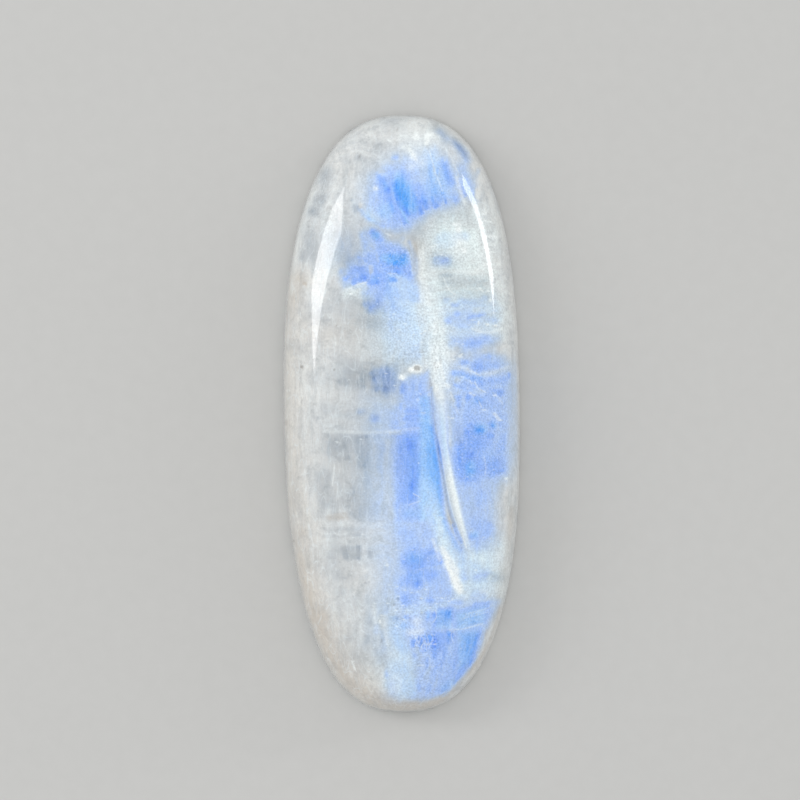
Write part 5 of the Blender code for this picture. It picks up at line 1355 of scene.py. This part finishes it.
# The blue sheen, painted into the colour and made uneven by the stone's patterns.
glow = broken_up(mask["blue"], ((wisps, 0.2), (clouds, 0.12), (crumbs, 0.03)))
beside_wall = {0: mask["fracture_across"], 1: -2.4, 2: 1.6, 3: 0.0, 4: 1.0}
beside_wall = add("ShaderNodeMapRange", {}, beside_wall)
violet, azure, upper_wall_shade_and_shine, lower_wall_shade_and_shine = (
    add("ShaderNodeValToRGB", {}, {0: value}) for value in (glow, glow, beside_wall, beside_wall)
)
for socket, stops in (
    (violet, VIOLET_SHEEN),
    (azure, AZURE_SHEEN),
    (upper_wall_shade_and_shine, UPPER_WALL_SHADE_AND_SHINE),
    (lower_wall_shade_and_shine, LOWER_WALL_SHADE_AND_SHINE),
):
    elements = socket.node.color_ramp.elements
    while len(elements) < len(stops):
        elements.new(0.5)
    for element, (position, code, *shown) in zip(elements, stops):
        element.position = position
        element.color = linear(code)
        element.alpha = shown[0] if shown else 1.0
sheen = add("ShaderNodeMix", COLOURS, {0: mask["azure"], 6: violet, 7: azure}, out=2)
glowing = add("ShaderNodeMapRange", SMOOTH, {0: glow, 1: 0.0, 2: 0.38, 3: 0.0, 4: 1.0})
colour = add("ShaderNodeMix", COLOURS, {0: glowing, 6: colour, 7: sheen}, out=2)

# Painted shade where the stone is clear, standing for the dark behind it showing through.
colour = layer(colour, "see_through_shade", linear("#a3aebc"), ((wisps, 0.5), (crumbs, 0.3)), "MULTIPLY")

# Cracks catch the light and show white, and crumbs do most of all in the sheen.
lively = add("ShaderNodeMath", LARGER, {0: mask["blue"], 1: mask["aqua_sheen"]})
lively = add("ShaderNodeMapRange", {}, {0: lively, 1: 0.0, 2: 0.3, 3: 0.3, 4: 1.0})
broken = add("ShaderNodeMapRange", {}, {0: clouds, 1: 0.42, 2: 0.62, 3: 0.0, 4: 1.0})
showing = add("ShaderNodeMapRange", {}, {0: clouds, 1: 0.38, 2: 0.60, 3: 0.0, 4: 1.0})
fainter = add("ShaderNodeMapRange", {}, {0: glowing, 1: 0.0, 2: 1.0, 3: 0.38, 4: 0.18})
cracks = 0.0
for mark, *shares in (
    (crazing, mask["crazed"], broken, 0.7),
    (hairs, showing, fainter),
    (sparks, 0.6, lively),
    (specks, mask["crazed"]),
):
    for share in shares:
        mark = add("ShaderNodeMath", TIMES, {0: mark, 1: share})
    cracks = add("ShaderNodeMath", LARGER, {0: cracks, 1: mark})
tone = {0: glowing, 6: linear("#e9f3f7"), 7: linear("#cbdffc")}
tone = add("ShaderNodeMix", COLOURS, tone, out=2)
colour = add("ShaderNodeMix", COLOURS, {0: cracks, 6: colour, 7: tone}, out=2)
# White veils, and one painted highlight along the rim.
colour = layer(colour, "veil_and_rim_highlight", WHITE_CRACK, ((wisps, 0.15), (crumbs, 0.25)))
hair = add("ShaderNodeMath", {"operation": "ABSOLUTE"}, {0: mask["hair_across"]})
hair = add("ShaderNodeMapRange", SMOOTH, {0: hair, 1: 0.0, 2: 1.0, 3: 1.0, 4: 0.0})
hair = add("ShaderNodeMath", TIMES, {0: hair, 1: mask["hair_strength"]})
colour = add("ShaderNodeMix", COLOURS, {0: hair, 6: colour, 7: WHITE_CRACK}, out=2)

# The fracture's wall, with its painted shadow and painted bright reflection, opens at its top and
# closes at its foot, and its painted shadow starts lower down.
down = mask["fracture_down"]
lower = add("ShaderNodeMapRange", {}, {0: down, 1: 0.39, 2: 0.55, 3: 0.0, 4: 1.0})
opens = add("ShaderNodeMapRange", {}, {0: down, 1: 0.0, 2: 0.22, 3: 0.1, 4: 1.0})
closes = add("ShaderNodeMapRange", {}, {0: down, 1: 0.77, 2: 0.98, 3: 1.0, 4: 0.0})
shaded = add("ShaderNodeMapRange", {}, {0: down, 1: 0.25, 2: 0.36, 3: 0.0, 4: 1.0})
inside = {0: mask["fracture_across"], 1: -1.15, 2: -0.95, 3: 0.0, 4: 1.0}
inside = add("ShaderNodeMapRange", {}, inside)
inside = add("ShaderNodeMath", LARGER, {0: inside, 1: shaded})
fracture_shade_and_shine = add("ShaderNodeMix", COLOURS, {0: lower, 6: upper_wall_shade_and_shine, 7: lower_wall_shade_and_shine}, out=2)
shows = {0: lower, 2: upper_wall_shade_and_shine.node.outputs["Alpha"], 3: lower_wall_shade_and_shine.node.outputs["Alpha"]}
shows = add("ShaderNodeMix", {}, shows)
for share in (inside, opens, closes):
    shows = add("ShaderNodeMath", TIMES, {0: shows, 1: share})
colour = add("ShaderNodeMix", COLOURS, {0: shows, 6: colour, 7: fracture_shade_and_shine}, out=2)
colour = layer(colour, "dark", linear("#5a4a3a"), ((crumbs, 0.1),))

# The finest crumbs scatter white light, so a light one is also a little less blue.
grain = add("ShaderNodeMapRange", {}, {0: crumbs, 1: 0.25, 2: 0.75, 3: 0.89, 4: 1.11})
grit = add("ShaderNodeMapRange", {}, {0: grit, 1: 0.25, 2: 0.75, 3: -0.115, 4: 0.115})
gritty = add("ShaderNodeMath", TIMES_PLUS, {0: mask["crazed"], 1: 0.7, 2: lively})
grit = add("ShaderNodeMath", TIMES_PLUS, {0: grit, 1: gritty, 2: 1.0})
grit = add("ShaderNodeMath", TIMES, {0: grit, 1: grain})
haze = add("ShaderNodeMath", TIMES_PLUS, {0: grit, 1: 0.13, 2: -0.13})
colour = add("ShaderNodeVectorMath", TIMES_PLUS, {0: colour, 1: grit, 2: haze})

surface = tree.nodes["Principled BSDF"]
tree.links.new(colour, surface.inputs["Base Color"])
surface.inputs["Roughness"].default_value = 0.05
surface.inputs["IOR"].default_value = 1.53
surface.inputs["Subsurface Weight"].default_value = 0.12
surface.inputs["Subsurface Radius"].default_value = (1.0, 1.0, 1.0)
surface.inputs["Subsurface Scale"].default_value = 0.0008
stone_mesh.materials.append(moonstone)

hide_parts("moonstone")
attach(stone, "root")

# ---------------------------------------------------------------------------------------------
# The floor. A disc of matt pale card, cut flat and far wider than the stone. The stone just
# lies on it, and nothing holds the two together.

FLOOR_RADIUS = 1.5  # metres
FLOOR_SEGMENTS = 64

bm = bmesh.new()
bmesh.ops.create_circle(bm, cap_ends=True, segments=FLOOR_SEGMENTS, radius=FLOOR_RADIUS)
floor_mesh = bpy.data.meshes.new("floor")
bm.to_mesh(floor_mesh)
bm.free()
floor = bpy.data.objects.new("floor", floor_mesh)
bpy.context.scene.collection.objects.link(floor)

# Matt pale card: what the eye sees is an even light grey, with the faintest fibre flecks, about
# a millimetre across.
paper = bpy.data.materials.new("matt pale card")
paper.use_nodes = True
tree = paper.node_tree
flecks = add("ShaderNodeTexCoord", out="Object")
flecks = add("ShaderNodeTexNoise", {}, {"Vector": flecks, "Scale": 900.0, "Detail": 2.0})
card = {0: flecks, 6: linear("#cacac8"), 7: linear("#c6c6c4")}
card = add("ShaderNodeMix", COLOURS, card, out=2)
tree.links.new(card, tree.nodes["Principled BSDF"].inputs["Base Color"])
tree.nodes["Principled BSDF"].inputs["Roughness"].default_value = 0.9
floor_mesh.materials.append(paper)

# ---------------------------------------------------------------------------------------------
# The light. Two narrow strip softboxes, one low on each side, that draw the two long highlights
# down the dome, a wide softbox overhead that leaves no reflection, and a pale room all round.


def softbox(name, spot, length_axis, width, length, power):
    """A soft light that faces the stone from this spot, in metres, its length along this axis."""
    lamp = bpy.data.lights.new(name, "AREA")
    lamp.shape = "RECTANGLE"
    lamp.size = width
    lamp.size_y = length
    lamp.energy = power
    away = Vector(spot).normalized()
    side = Vector(length_axis).cross(away).normalized()
    turned = Matrix((side, away.cross(side), away)).transposed()
    obj = bpy.data.objects.new(name, lamp)
    obj.matrix_world = Matrix.Translation(spot) @ turned.to_4x4()
    obj.visible_camera = False
    bpy.context.scene.collection.objects.link(obj)
    return obj


LEFT_AXIS = (0.546, 0.616, 0.568)
RIGHT_AXIS = (-0.424, 0.686, 0.592)
softbox("left strip", (-0.416, 0.151, 0.242), LEFT_AXIS, 0.124, 0.292, 0.60)
softbox("right strip", (0.456, 0.181, 0.116), RIGHT_AXIS, 0.050, 0.290, 0.31)
overhead = softbox("overhead", (0.0, 0.0, 0.7), (0.0, 1.0, 0.0), 0.7, 0.7, 0.60)
overhead.visible_glossy = False

world = bpy.data.worlds.new("studio")
world.use_nodes = True
world.node_tree.nodes["Background"].inputs["Color"].default_value = (1, 1, 1, 1)
world.node_tree.nodes["Background"].inputs["Strength"].default_value = 0.76
bpy.context.scene.world = world
bpy.context.scene.view_settings.view_transform = "Standard"

# ---------------------------------------------------------------------------------------------
# The camera. It looks straight down from 0.8 m, with a long lens, and a little off the middle.

FILM_WIDTH = 36  # millimetres, like the four below
CAMERA_HEIGHT = 800
OFF_MIDDLE = (-0.116, 1.05)
VIEW_WIDTH = 61.7
VIEW_DISTANCE = 799.5  # from the camera to where the view is that wide, just above the floor

camera_data = bpy.data.cameras.new("camera")
camera_data.sensor_width = FILM_WIDTH
camera_data.lens = FILM_WIDTH * VIEW_DISTANCE / VIEW_WIDTH
camera_data.clip_start = 0.01
camera = bpy.data.objects.new("camera", camera_data)
camera.location = [place * MM for place in (*OFF_MIDDLE, CAMERA_HEIGHT)]
bpy.context.scene.collection.objects.link(camera)
bpy.context.scene.camera = camera
